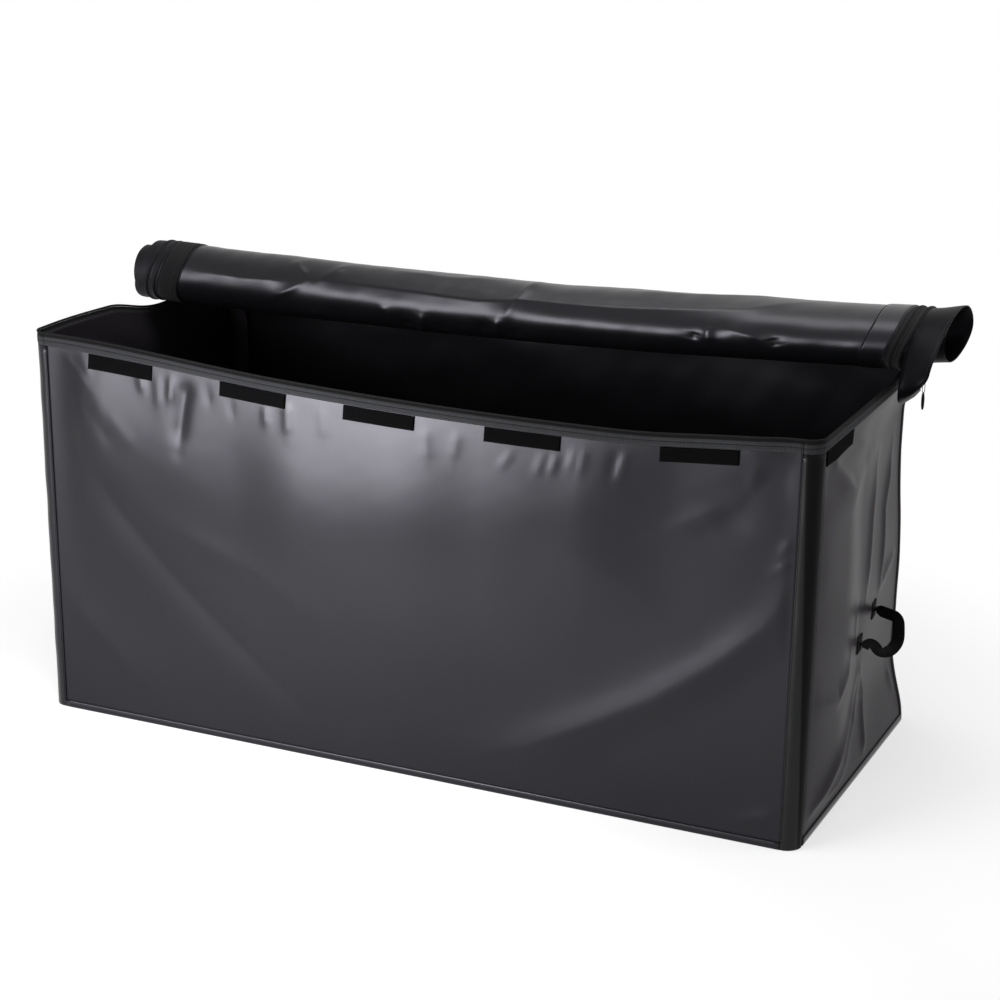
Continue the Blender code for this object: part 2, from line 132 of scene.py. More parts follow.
# The front's belly under the rim: how far it stands out at each x
BELLY_X = (-0.56, -0.46, -0.36, -0.25, -0.13, 0.00, 0.13, 0.26, 0.40, 0.56)
BELLY_OUT = (0.0021, 0.0137, 0.0121, 0.0117, 0.0200, 0.0200, 0.0145, 0.0113, 0.0002, 0.0091)
# Its crest: the height at its lowest place, that x, the rise to both sides, and how it falls off
CREST_Z = 0.349
CREST_X = -0.101
CREST_RISE = 0.687
BELLY_POWER = 1.78
BELLY_FALL = 0.286
# Folds of the front: a line of (x, z), its height and its half width
FRONT_FOLDS = (
    (((-0.507, 0.400), (-0.443, 0.324), (-0.363, 0.246), (-0.234, 0.139), (-0.102, 0.038)), -0.0040, 0.026),
    (((-0.371, 0.320), (-0.287, 0.295), (-0.199, 0.267), (-0.094, 0.215)), 0.0027, 0.024),
    (((-0.553, 0.190), (-0.495, 0.132), (-0.437, 0.080), (-0.399, 0.035)), 0.0008, 0.018),
    (((0.560, 0.372), (0.518, 0.301), (0.453, 0.242), (0.372, 0.183), (0.283, 0.131), (0.186, 0.078),
      (0.090, 0.045)), 0.0064, 0.030),
    (((0.400, 0.300), (0.300, 0.360), (0.200, 0.400)), 0.0016, 0.050),
    (((0.500, 0.480), (0.458, 0.460), (0.369, 0.416)), 0.0016, 0.016),
    (((0.535, 0.545), (0.512, 0.500), (0.480, 0.460), (0.440, 0.430)), -0.0034, 0.030),
    (((-0.533, 0.546), (-0.518, 0.521), (-0.477, 0.487)), 0.0013, 0.008),
    (((-0.511, 0.554), (-0.492, 0.527), (-0.481, 0.505)), 0.0010, 0.007),
    (((-0.503, 0.479), (-0.471, 0.447), (-0.442, 0.413)), -0.0011, 0.014),
    (((-0.453, 0.464), (-0.406, 0.418)), 0.0006, 0.012),
    (((-0.320, 0.538), (-0.328, 0.487), (-0.335, 0.428)), -0.0038, 0.012),
    (((-0.401, 0.530), (-0.392, 0.500)), 0.0016, 0.006),
    (((-0.371, 0.536), (-0.365, 0.480)), 0.0012, 0.008),
    (((-0.347, 0.539), (-0.348, 0.490)), 0.0020, 0.006),
    (((-0.291, 0.542), (-0.283, 0.500)), -0.0010, 0.007),
    (((-0.252, 0.525), (-0.244, 0.490)), -0.0007, 0.006),
    (((-0.193, 0.520), (-0.189, 0.488)), 0.0013, 0.006),
    (((-0.159, 0.535), (-0.153, 0.480)), 0.0018, 0.008),
    (((-0.105, 0.535), (-0.098, 0.485)), 0.0008, 0.008),
    (((0.050, 0.530), (0.056, 0.478)), 0.0008, 0.009),
    (((0.098, 0.530), (0.092, 0.484)), 0.0007, 0.008),
    (((0.176, 0.512), (0.159, 0.484)), 0.0006, 0.006),
    (((0.220, 0.515), (0.209, 0.480)), 0.0006, 0.006),
    (((0.237, 0.515), (0.230, 0.486)), 0.0010, 0.005),
    (((0.261, 0.528), (0.254, 0.492)), 0.0007, 0.006),
    (((0.275, 0.530), (0.269, 0.488)), 0.0008, 0.006),
    (((0.318, 0.535), (0.310, 0.486)), -0.0010, 0.007),
    (((0.332, 0.538), (0.319, 0.482)), 0.0008, 0.007),
    (((0.508, 0.538), (0.490, 0.482)), 0.0009, 0.008),
    (((0.590, 0.438), (0.556, 0.425), (0.535, 0.402)), 0.0024, 0.008),
    (((0.590, 0.402), (0.556, 0.395), (0.526, 0.380)), 0.0018, 0.007),
    (((0.470, 0.018), (0.510, 0.030), (0.548, 0.050)), 0.0021, 0.011),
)
# Folds of an end: a line of (y, z), its height and its half width. They run from the handle's roots
END_FOLDS = (
    (((0.106, 0.232), (0.116, 0.285), (0.133, 0.355), (0.164, 0.391), (0.185, 0.441)), 0.0050, 0.011),
    (((0.018, 0.259), (0.027, 0.319), (0.046, 0.381), (0.079, 0.454)), 0.0050, 0.014),
    (((0.101, 0.245), (0.162, 0.262), (0.218, 0.270)), 0.0044, 0.009),
    (((-0.209, 0.497), (-0.105, 0.455), (0.014, 0.458)), 0.0036, 0.016),
    (((-0.205, 0.525), (-0.170, 0.499), (-0.105, 0.455)), 0.0034, 0.014),
    (((-0.110, 0.525), (0.010, 0.479), (0.089, 0.460)), 0.0034, 0.014),
    (((-0.070, 0.226), (-0.105, 0.193), (-0.139, 0.174), (-0.215, 0.196)), 0.0044, 0.013),
    (((0.002, 0.164), (-0.052, 0.112), (-0.117, 0.082), (-0.176, 0.051), (-0.230, 0.030)), 0.0068, 0.012),
    (((0.013, 0.156), (-0.016, 0.093), (-0.081, 0.053), (-0.136, 0.032), (-0.195, 0.016)), 0.0060, 0.012),
    (((0.014, 0.163), (0.043, 0.108), (0.043, 0.033), (0.047, 0.015)), 0.0050, 0.010),
    (((0.205, 0.092), (0.222, 0.049)), 0.0036, 0.010),
    (((-0.020, 0.190), (-0.040, 0.225), (-0.060, 0.300)), 0.0030, 0.014),
)
# Folds of the rolled lid: a line of (x, turns), its height and its half width
ROLL_FOLDS = (
    (((-0.307, 0.333), (-0.247, 0.342), (-0.112, 0.333), (-0.027, 0.324), (0.057, 0.350), (0.177, 0.350),
      (0.367, 0.394), (0.437, 0.500)), 0.0030, 0.009),
    (((-0.347, 0.455), (-0.327, 0.394), (-0.307, 0.333)), 0.0028, 0.008),
    (((-0.307, 0.333), (-0.332, 0.272), (-0.367, 0.211)), 0.0026, 0.008),
    (((0.042, 0.540), (0.037, 0.377), (0.017, 0.229)), 0.0032, 0.010),
    (((-0.292, 0.316), (-0.267, 0.403), (-0.255, 0.470)), 0.0022, 0.010),
    (((-0.510, 0.300), (-0.412, 0.298), (-0.337, 0.312)), 0.0020, 0.010),
    (((-0.300, 0.165), (-0.287, 0.125)), 0.0026, 0.007),
    (((-0.180, 0.250), (-0.166, 0.180)), 0.0026, 0.009),
    (((-0.112, 0.235), (-0.124, 0.090)), 0.0046, 0.008),
    (((-0.137, 0.177), (-0.150, 0.130)), -0.0034, 0.010),
    (((-0.092, 0.194), (-0.084, 0.120)), -0.0034, 0.010),
    (((0.007, 0.250), (0.002, 0.130)), 0.0046, 0.007),
    (((-0.012, 0.211), (-0.024, 0.150)), -0.0034, 0.010),
    (((0.027, 0.200), (0.034, 0.130)), -0.0034, 0.010),
    (((0.327, 0.310), (0.327, 0.210)), 0.0042, 0.007),
    (((0.308, 0.270), (0.304, 0.220)), -0.0030, 0.009),
    (((0.347, 0.298), (0.402, 0.255)), 0.0028, 0.010),
    (((0.416, 0.270), (0.424, 0.210)), -0.0028, 0.010),
    (((0.536, 0.310), (0.540, 0.230)), 0.0036, 0.008),
    (((0.180, 0.480), (0.300, 0.500), (0.420, 0.560)), 0.0024, 0.014),
    (((-0.200, 0.470), (-0.090, 0.450), (-0.010, 0.480)), 0.0020, 0.012),
)

# Camera of the photograph
EYE = Vector((1.4270, -3.0606, 1.4174))
TARGET = Vector((0.0315, 0.0009, 0.3308))
ROLL = math.radians(0.5918)
LENS = 88.60


def smooth(value):
    """Ease from 0 to 1."""
    t = np.clip(value, 0.0, 1.0)
    return t * t * (3.0 - 2.0 * t)


def bell(value):
    """One at 0, zero with no slope at -1 and 1."""
    return np.maximum(0.0, 1.0 - value * value) ** 2


def mix(pair, t):
    """From the first to the second of a pair."""
    return pair[0] + (pair[1] - pair[0]) * t


def eased(x, places, values):
    """Values at places, joined by soft steps."""
    total = values[0] + 0.0 * x
    for index in range(len(places) - 1):
        step = (x - places[index]) / (places[index + 1] - places[index])
        total = total + (values[index + 1] - values[index]) * smooth(step)
    return total


def ripple(a, b, seed, wave):
    """Slow unevenness of cloth, from waves in fixed directions."""
    total = np.zeros(np.broadcast(a, b).shape)
    for step in range(5):
        angle = seed + 2.399 * step
        size = wave * (0.62 + 0.19 * step)
        run = a * math.cos(angle) + b * math.sin(angle)
        total += np.sin(2.0 * math.pi * run / size + 1.7 * seed * (step + 1))
    return total / 5.0


def folds(a, b, lines, b_scale=1.0, crisp=0.45):
    """Height of folds that run along lines and fade at both ends. Crisp is the share with a sharp top."""
    total = np.zeros(np.broadcast(a, b).shape)
    for line, height, half in lines:
        nearest = np.full(total.shape, 9.0)
        share = np.zeros(total.shape)
        count = len(line) - 1
        for index in range(count):
            a0, b0 = line[index][0], line[index][1] * b_scale
            da = line[index + 1][0] - a0
            db = line[index + 1][1] * b_scale - b0
            t = np.clip(((a - a0) * da + (b * b_scale - b0) * db) / (da * da + db * db), 0.0, 1.0)
            away = np.hypot(a - a0 - da * t, b * b_scale - b0 - db * t)
            closer = away < nearest
            nearest = np.where(closer, away, nearest)
            share = np.where(closer, (index + t) / count, share)
        fade = 0.25 + 0.75 * smooth(np.minimum(share, 1.0 - share) / 0.3)
        sharp = np.exp(-np.sqrt(nearest ** 2 + 0.0009 ** 2) / (0.8 * half))
        total += height * fade * ((1.0 - crisp) * np.exp(-(nearest / half) ** 2) + crisp * sharp)
    return total


def end_x(y, z0):
    """How far an end wall stands from the middle."""
    rise = z0 / HEIGHT
    hump = 4.0 * rise * (1.0 - rise)
    bulge = END_BULGE * bell(2.0 * y / DEPTH) * hump
    back = smooth(0.5 + y / DEPTH)
    bow = BACK_BOW * back * smooth(rise / 0.20) * smooth((1.0 - rise) / 0.16)
    slack = DRAW_IN * back * smooth((rise - 0.45) / 0.30) * smooth((0.985 - rise) / 0.08)
    return WIDTH / 2.0 + FLARE * rise + bulge - bow - slack


def panel_half(facing, z0):
    """Half the width of the front (-1) or the back (1) between its corners."""
    return end_x(facing * END_HALF, z0) - CORNER_R


def seam_fade(z0):
    """A wall's folds die out at the base seam and under the rim's zip tape."""
    return smooth((z0 - 0.012) / 0.035) * smooth((STRIP_TOP + 0.004 - z0) / 0.030)


def wall_fade(z0):
    """An end wall's rounding dies out at the base seam and below the loop strips."""
    return smooth((z0 - 0.012) / 0.050) * smooth((STRIP_TOP - STRIP_HEIGHT - 0.004 - z0) / 0.080)


def front_relief(x, z0):
    """How far the front stands out of its plain form: a belly under the rim, diagonal folds and puckers."""
    crest = CREST_Z + CREST_RISE * (x - CREST_X) ** 2
    above = np.clip((z0 - crest) / np.maximum(0.03, HEIGHT - 0.004 - crest), 0.0, 1.0) ** BELLY_POWER
    below = smooth((crest - z0) / BELLY_FALL)
    belly = eased(x, BELLY_X, BELLY_OUT) * (1.0 - above) * (1.0 - below)
    calm = smooth((0.553 - np.abs(x)) / 0.060)
    edge = smooth((0.556 - np.abs(x)) / 0.018)
    waves = 0.0009 * ripple(x, z0, 0.7, 0.230) + 0.00006 * ripple(x, z0, 2.1, 0.050)
    return calm * (belly + waves * seam_fade(z0)) + edge * folds(x, z0, FRONT_FOLDS) * seam_fade(z0)


def front_at(u, z0, off=0.0):
    """Point on the front, at u from -1 to 1 across it and z0 up it, moved out by off."""
    rise = z0 / HEIGHT
    swell = np.sin(0.5 * math.pi * np.minimum(1.0, rise / 0.8))
    x = u * panel_half(-1, z0)
    y = DEPTH / 2.0 + FRONT_BULGE * bell(u) * swell + front_relief(x, z0) + off
    span = np.where(u < FRONT_SAG_AT, 1.0 + FRONT_SAG_AT, 1.0 - FRONT_SAG_AT)
    sag = FRONT_SAG * bell((u - FRONT_SAG_AT) / span)
    lift = LEFT_LIFT * smooth((-u - 0.3) / 0.7)
    return np.stack([x, -y, z0 + (lift - sag) * rise * rise], -1)


def back_at(u, z0, off=0.0):
    """Point on the back, as for the front."""
    rise = z0 / HEIGHT
    x = u * panel_half(1, z0)
    edge = smooth((0.553 - np.abs(x)) / 0.060) * smooth(z0 / 0.05) * smooth((HEIGHT - 0.03 - z0) / 0.05)
    wave = 0.0028 * ripple(x, z0, 1.3, 0.330) + 0.0008 * ripple(x, z0, 2.6, 0.090)
    y = DEPTH / 2.0 + BACK_BULGE * bell(u) * 4.0 * rise * (1.0 - rise) + edge * wave + off
    return np.stack([x, y, z0 + 0.0 * x], -1)


def round_out(y):
    """The end walls stand out a little behind the front corners, so that they turn softly into them."""
    run = np.maximum(0.0, y + END_HALF)
    rise = 1.0 - np.exp(-run * ROUND_SLOPE / ROUND_OUT)
    first = 0.5 * ROUND_SLOPE * (1.0 - ROUND_START) * CORNER_ARC
    return (first + ROUND_OUT * rise) * (1.0 - smooth((y + 0.130) / 0.125))


def end_at(side, y, z0, off=0.0):
    """Point on the left (-1) or the right (1) end wall."""
    z = z0 + 0.0 * y
    if side < 0:
        sag = LEFT_RIM_SAG * bell((y - LEFT_SAG_AT) / LEFT_SAG_HALF)
        lift = LEFT_LIFT * smooth((0.05 - y) / 0.25)
        z = z0 + (lift - sag) * (z0 / HEIGHT) ** 2
    edge = smooth((END_HALF - 0.004 - np.abs(y)) / 0.030) * seam_fade(z0)
    near_front = np.hypot(y - HANDLE_FRONT[0], z0 - HANDLE_FRONT[1])
    near_back = np.hypot(y - HANDLE_BACK[0], z0 - HANDLE_BACK[1])
    calm = smooth((np.minimum(near_front, near_back) - 0.016) / 0.030)
    detail = calm * folds(y, z0, END_FOLDS, crisp=0.75) + 0.0010 * ripple(y, z0, 0.4 + side, 0.140)
    out = edge * detail + round_out(y) * wall_fade(z0) + off
    return np.stack([side * (end_x(y, z0) + out), y + 0.0 * z0, z], -1)


def corner_at(side, facing, run, z0, off=0.0):
    """Point on a rounded corner, at a run from its front or back panel towards its end wall."""
    angle = np.clip(run, 0.0, CORNER_ARC) / CORNER_R
    if facing < 0:
        turn = np.clip(run / CORNER_ARC - ROUND_START, 0.0, 1.0 - ROUND_START)
        off = off + 0.5 * ROUND_SLOPE * CORNER_ARC * turn ** 2 / (1.0 - ROUND_START) * wall_fade(z0)
    x = panel_half(facing, z0) + (CORNER_R + off) * np.sin(angle) + np.minimum(0.0, run)
    y = DEPTH / 2.0 - CORNER_R + (CORNER_R + off) * np.cos(angle) - np.maximum(0.0, run - CORNER_ARC)
    lift = LEFT_LIFT * (z0 / HEIGHT) ** 2 if side < 0 and facing < 0 else 0.0
    return np.stack([side * x, facing * y, z0 + lift + 0.0 * x], -1)


def roll_section(u, s):
    """Section of the rolled lid at u from 0 to 1 along it: flat while s rises to 0, then s in turns."""
    yc = mix(ROLL_Y, u)
    zc = mix(ROLL_Z, u) - ROLL_SAG * 4.0 * u * (1.0 - u)
    a = mix(ROLL_A, smooth(u))
    b = mix(ROLL_B, smooth(u))
    t = np.minimum(1.0, 1.0 + s)
    settle = smooth(mix(SETTLE, u) * t)
    flat_y = HINGE_Y - 0.0015 + (yc - HINGE_Y + 0.0015) * t
    flat_z = HINGE_Z + (zc - b - HINGE_Z) * settle
    angle = 2.0 * math.pi * s
    r = 1.0 - TIGHTEN * s
    round_y = yc - a * r * np.sin(angle)
    round_z = zc - b * r * np.cos(angle)
    return np.where(s < 0.0, flat_y, round_y), np.where(s < 0.0, flat_z, round_z)


def roll_relief(x, s):
    """Folds and puckers of the outer turn, and none where a turn lies inside another."""
    shown = smooth((s - 0.02) / 0.08) * smooth((0.78 - s) / 0.12)
    ends = smooth((LID_HALF - LID_TAPE - 0.004 - np.abs(x)) / 0.030)
    detail = folds(x, s, ROLL_FOLDS, TURN_LENGTH, 0.8)
    run = s * TURN_LENGTH
    detail = detail + 0.0016 * ripple(x, run, 1.1, 0.210) + 0.0005 * ripple(x, run, 2.9, 0.060)
    return shown * ends * detail


def slant(s):
    """The roll is wound a little askew: its top lies further to the right than its underside."""
    return SLANT * smooth((s - 0.10) / 0.30) * smooth((0.95 - s) / 0.20)


def roll_at(x, s, out=0.0, relief=True):
    """Point on the lid sheet, moved by out off its underside, which is the roll's outer side."""
    u = np.clip(0.5 + 0.5 * x / LID_HALF, 0.0, 1.0)
    step = 0.004
    back_y, back_z = roll_section(u, np.maximum(-1.0, s - step))
    ahead_y, ahead_z = roll_section(u, s + step)
    ty = ahead_y - back_y
    tz = ahead_z - back_z
    length = np.hypot(ty, tz)
    y, z = roll_section(u, s)
    if relief:
        out = out + roll_relief(x, s)
    x = x + slant(s) * smooth((np.abs(x) - 0.36) / 0.20)
    return np.stack([x + 0.0 * s, y - out * tz / length, z + out * ty / length], -1)


def skirt_at(side, x, s, out=0.0):
    """Point on an end skirt. On the right its outer turn hangs past the rim and flares to a free edge."""
    outward = np.maximum(0.0, (x - DROOP_START) / (LID_HALF + SKIRT[1] - DROOP_START))
    at = s + 0.4 * outward * np.maximum(0.0, 0.3 - s) if side > 0 else s
    wave = 0.0010 * ripple(x, at * TURN_LENGTH, 0.9, 0.080) * smooth((x - SEAM_EDGE) / 0.02)
    wave = wave * smooth((at - 0.02) / 0.1)
    point = roll_at(side * LID_HALF + 0.0 * x, at, out + wave, False)
    shift = slant(at)
    if side > 0:
        shift = shift * (1.0 - 0.75 * outward) - 0.014 * outward * smooth((0.15 - s) / 0.20)
    point[..., 0] = side * x + shift
    if side > 0:
        fall = smooth((x - DROOP_START) / 0.010) * (1.0 - 0.75 * outward)
        turn = smooth((at + 0.25) / 0.2) * smooth((0.42 - at) / 0.30)
        top = smooth((at - 0.3) / 0.3)
        point[..., 2] += 0.004 * outward * top - 1.15 * DROOP * fall * turn
        point[..., 1] += LEAN * outward * top - (1.30 * DROOP * fall + FLAP * smooth(outward)) * turn
    return point


class Value:
    """A shader socket that takes part in Python arithmetic."""

    def __init__(self, finish, socket):
        self.finish = finish
        self.socket = socket

    def maths(self, operation, first, second=0.0):
        return self.finish.node("ShaderNodeMath", {"operation": operation}, {0: first, 1: second})

    def __add__(self, other):
        return self.maths("ADD", self, other)

    def __radd__(self, other):
        return self.maths("ADD", other, self)

    def __sub__(self, other):
        return self.maths("SUBTRACT", self, other)

    def __rsub__(self, other):
        return self.maths("SUBTRACT", other, self)

    def __mul__(self, other):
        return self.maths("MULTIPLY", self, other)

    def __rmul__(self, other):
        return self.maths("MULTIPLY", other, self)

    def __truediv__(self, other):
        return self.maths("DIVIDE", self, other)

    def __rtruediv__(self, other):
        return self.maths("DIVIDE", other, self)

    def sine(self):
        return self.maths("SINE", self)

    def wave(self, length):
        """A sine that repeats at each length."""
        return (self * (2.0 * math.pi / length)).sine()

    def size(self):
        return self.maths("ABSOLUTE", self)

    def over(self, edge):
        return self.maths("GREATER_THAN", self, edge)

    def between(self, low, high, first=0.0, last=1.0):
        """Ease from first to last while the value goes from low to high."""
        sockets = {"Value": self, "From Min": low, "From Max": high, "To Min": first, "To Max": last}
        return self.finish.node("ShaderNodeMapRange", {"interpolation_type": "SMOOTHSTEP"}, sockets)


class Finish:
    """A material, or the world, and the nodes that make it."""

    def __init__(self, name, world=False):
        self.material = (bpy.data.worlds if world else bpy.data.materials).new(name)
        self.material.use_nodes = True
        self.tree = self.material.node_tree
        self.shader = self.tree.nodes["Background" if world else "Principled BSDF"]

    def put(self, value, socket):
        if isinstance(value, Value):
            self.tree.links.new(value.socket, socket)
        elif socket.type == "RGBA":
            socket.default_value = (*value[:3], 1.0)
        else:
            socket.default_value = value

    def node(self, kind, settings=None, sockets=None, output=0):
        """A node of any type: its settings first, then the values or links of its sockets."""
        made = self.tree.nodes.new(kind)
        for key, setting in (settings or {}).items():
            setattr(made, key, setting)
        for key, value in (sockets or {}).items():
            self.put(value, made.inputs[key])
        return Value(self, made.outputs[output])

    def place(self):
        """Distances over the cloth in metres, from the UV map."""
        return self.node("ShaderNodeTexCoord", output="UV")

    def split(self, vector):
        parts = self.node("ShaderNodeSeparateXYZ", None, {0: vector})
        return parts, Value(self, parts.socket.node.outputs[1])

    def noise(self, vector, scale, detail=3.0, roughness=0.55):
        sockets = {"Vector": vector, "Scale": scale, "Detail": detail, "Roughness": roughness}
        return self.node("ShaderNodeTexNoise", None, sockets, "Fac")

    def blend(self, share, first, second):
        settings = {"data_type": "RGBA"}
        return self.node("ShaderNodeMix", settings, {0: share, 6: first, 7: second}, 2)

    def seen(self):
        """One where a ray from the camera, a gloss or a clear piece looks straight at the surround."""
        rays = self.node("ShaderNodeLightPath").socket.node.outputs
        names = ("Is Camera Ray", "Is Glossy Ray", "Is Transmission Ray")
        kinds = [Value(self, rays[name]) for name in names]
        return (kinds[0] + kinds[1] + kinds[2]).over(0.5)

    def bump(self, height, distance, strength=1.0):
        sockets = {"Strength": strength, "Distance": distance, "Height": height}
        return self.node("ShaderNodeBump", None, sockets, "Normal")

    def set(self, **sockets):
        for key, value in sockets.items():
            self.put(value, self.shader.inputs[key.replace("_", " ")])
        return self.material


def coated_fabric(name, dark, light, roughness, grain, gloss=0.17, tint=(0.91, 0.89, 1.0)):
    """PVC on a woven ground: a faint weave shows through a satin, slightly uneven skin."""
    f = Finish(name)
    place = f.place()
    across, along = f.split(place)
    cloud = f.noise(place, 7.0, 4.0)
    skin = f.noise(place, 260.0, 3.0)
    weave = across.wave(0.0013) * along.wave(0.0013)
    scuff = f.noise(place, 38.0, 6.0, 0.7).between(0.62, 0.80)
    height = weave * 0.22 + skin * grain
    return f.set(
        Base_Color=f.blend(cloud * 0.7 + scuff * 0.16, dark, light),
        Roughness=roughness + cloud * 0.05 + skin * 0.04 + scuff * 0.02,
        Normal=f.bump(height, 0.00022, 0.16),
        Specular_IOR_Level=gloss,
        Specular_Tint=tint,
    )


def wrapped_corner(name):
    """The fabric where it turns the corner: satin beside each wall and dull in the turn."""
    f = Finish(name)
    place = f.place()
    across, along = f.split(place)
    skin = f.noise(place, 260.0, 3.0)
    cloud = f.noise(place, 7.0, 4.0)
    beside_front = (across + along * 0.037).between(0.0225, 0.0265, 0.36, 0.0)
    return f.set(
        Base_Color=f.blend(cloud, (0.0012, 0.0012, 0.0015), (0.0030, 0.0030, 0.0036)),
        Roughness=0.52 + skin * 0.10,
        Coat_Weight=beside_front + across.between(0.022, 0.036, 0.0, 0.12),
        Coat_Roughness=0.32,
        Normal=f.bump(skin, 0.00022, 0.20),
        Specular_IOR_Level=0.06,
    )


def zip_cloth(name, dark, light, edged=False):
    """Woven zip tape: fine ribs across it, and a black top edge and middle line where it is edged."""
    f = Finish(name)
    place = f.place()
    across, along = f.split(place)
    rib = across.wave(0.0022)
    cross = along.wave(0.0011)
    fuzz = f.noise(place, 1400.0, 2.0)
    shade = f.blend(f.noise(place, 60.0) * 0.5 + rib * 0.2 + 0.2, dark, light)
    if edged:
        line = (along - 0.0070).size().between(0.0004, 0.0011, 0.8, 0.0)
        shade = f.blend(along.between(0.0112, 0.0126) + line, shade, (0.0016, 0.0016, 0.0018))
    return f.set(
        Base_Color=shade,
        Roughness=0.66 + fuzz * 0.2,
        Normal=f.bump(rib * 0.6 + cross * 0.35 + fuzz * 0.5, 0.0004, 0.8),
        Specular_IOR_Level=0.10,
        Sheen_Weight=0.02,
    )


def pile(name):
    """Loop pile: a deep matt fuzz that takes almost no light."""
    f = Finish(name)
    place = f.place()
    tufts = f.node("ShaderNodeTexVoronoi", None, {"Vector": place, "Scale": 900.0}, "Distance")
    fuzz = f.noise(place, 2200.0, 4.0, 0.7)
    return f.set(
        Base_Color=f.blend(fuzz, (0.0006, 0.0006, 0.0007), (0.0024, 0.0024, 0.0027)),
        Roughness=0.92 + fuzz * 0.08,
        Normal=f.bump(tufts * 0.7 + fuzz * 0.5, 0.0007, 0.9),
        Specular_IOR_Level=0.03,
    )


def webbing(name):
    """Flat woven webbing: chevron ribs with a selvedge."""
    f = Finish(name)
    place = f.place()
    across, along = f.split(place)
    lean = along.wave(0.0060).size()
    rib = (across * (2.0 * math.pi / 0.0020) + lean * 3.0).sine()
    yarn = along.wave(0.0012)
    fuzz = f.noise(place, 1500.0, 3.0)
    share = rib * 0.25 + fuzz * 0.5 + 0.1
    return f.set(
        Base_Color=f.blend(share, (0.0016, 0.0016, 0.0018), (0.0090, 0.0090, 0.0098)),
        Roughness=0.70 + fuzz * 0.2,
        Normal=f.bump(rib * 0.6 + yarn * 0.4 + fuzz * 0.3, 0.0006, 0.9),
        Specular_IOR_Level=0.10,
        Sheen_Weight=0.01,
    )


def thread(name, dark, light, gloss):
    """Twisted sewing thread."""
    f = Finish(name)
    place = f.place()
    across, along = f.split(place)
    twist = (across * (2.0 * math.pi / 0.0009) + along * (2.0 * math.pi / 0.0016)).sine()
    return f.set(
        Base_Color=f.blend(twist * 0.4 + 0.5, dark, light),
        Roughness=0.55 + twist * 0.08,
        Normal=f.bump(twist, 0.0001, 0.6),
        Specular_IOR_Level=gloss,
    )


def enamel(name):
    """Black enamel on a cast zinc slider, worn a little at its edges."""
    f = Finish(name)
    place = f.node("ShaderNodeTexCoord", output="Object")
    edge = f.node("ShaderNodeNewGeometry", output="Pointiness").between(0.52, 0.60)
    grit = f.noise(place, 1800.0, 4.0)
    return f.set(
        Base_Color=f.blend(edge * grit * 0.6, (0.008, 0.008, 0.009), (0.140, 0.135, 0.130)),
        Roughness=0.30 + grit * 0.14,
        Metallic=edge * grit * 0.5,
        Normal=f.bump(grit, 0.0001, 0.3),
    )


def moulded(name, gloss):
    """Moulded black plastic with a fine spark texture."""
    f = Finish(name)
    place = f.node("ShaderNodeTexCoord", output="Object")
    spark = f.noise(place, 2400.0, 3.0)
    cloud = f.noise(place, 90.0, 2.0)
    return f.set(
        Base_Color=f.blend(cloud, (0.0035, 0.0035, 0.0038), (0.0080, 0.0080, 0.0085)),
        Roughness=0.42 + spark * 0.16,
        Normal=f.bump(spark, 0.0002, 0.5),
        Specular_IOR_Level=gloss,
    )


# Name, dark and light colour, roughness, grain, gloss and the gloss's tint
PANEL = coated_fabric(
    "coated_fabric_panel", (0.0018, 0.0018, 0.0024), (0.0038, 0.0037, 0.0046), 0.25, 0.40, 0.29)
# The ends' fabric is the panel's PVC with its colour raised several times and its gloss cut: the lighter
# colour is painted sheen, standing in for the light that the ends catch at a grazing angle.
END_PANEL_PAINTED_SHEEN = coated_fabric(
    "coated_fabric_end_painted_sheen", (0.0160, 0.0140, 0.0166), (0.0240, 0.0212, 0.0250), 0.34, 0.40, 0.05,
    (0.97, 0.87, 1.0))
ROLLED = coated_fabric(
    "coated_fabric_lid", (0.0026, 0.0026, 0.0032), (0.0054, 0.0054, 0.0064), 0.28, 0.36, 0.24)
FLAP_CLOTH = coated_fabric(
    "coated_fabric_flap", (0.0014, 0.0014, 0.0018), (0.0026, 0.0026, 0.0032), 0.38, 0.50, 0.04)
SEAM = coated_fabric(
    "coated_fabric_seam", (0.0040, 0.0040, 0.0048), (0.0075, 0.0075, 0.0088), 0.50, 0.60, 0.08)
CORNER = wrapped_corner("wrapped_corner")
LINING = coated_fabric(
    "coated_fabric_inside", (0.0060, 0.0060, 0.0068), (0.0100, 0.0100, 0.0110), 0.55, 0.60)
TAPE = zip_cloth("woven_zip_tape", (0.0115, 0.0117, 0.0134), (0.0270, 0.0275, 0.0306), True)
DARK_TAPE = zip_cloth("dark_zip_tape", (0.0018, 0.0018, 0.0022), (0.0050, 0.0050, 0.0058))
COIL = moulded("nylon_coil", 0.05)
LOOP = pile("loop_pile")
WEBBING = webbing("woven_webbing")
THREAD = thread("sewing_thread", (0.010, 0.010, 0.012), (0.040, 0.040, 0.045), 0.30)
BLACK_THREAD = thread("black_thread", (0.0010, 0.0010, 0.0012), (0.0030, 0.0030, 0.0034), 0.05)
ENAMEL = enamel("black_enamel")
MOULDED = moulded("moulded_pull", 0.16)
# The back corners take the ends' lighter colour, which is painted sheen.
CORNER_CLOTHS = {
    "front_left": PANEL, "front_right": CORNER, "back_left": END_PANEL_PAINTED_SHEEN, "back_right": END_PANEL_PAINTED_SHEEN}
# Tape, seam band and skirt at each end of the lid
LID_END_CLOTHS = {-1: (DARK_TAPE, SEAM, SEAM), 1: (ROLLED, DARK_TAPE, FLAP_CLOTH)}


def steps(start, end, count):
    """Evenly spaced places, one more than the count of steps."""
    return np.linspace(start, end, count + 1)


def lay(surface, us, vs):
    """Points of a surface over a grid."""
    u, v = np.meshgrid(us, vs, indexing="ij")
    return surface(u, v)


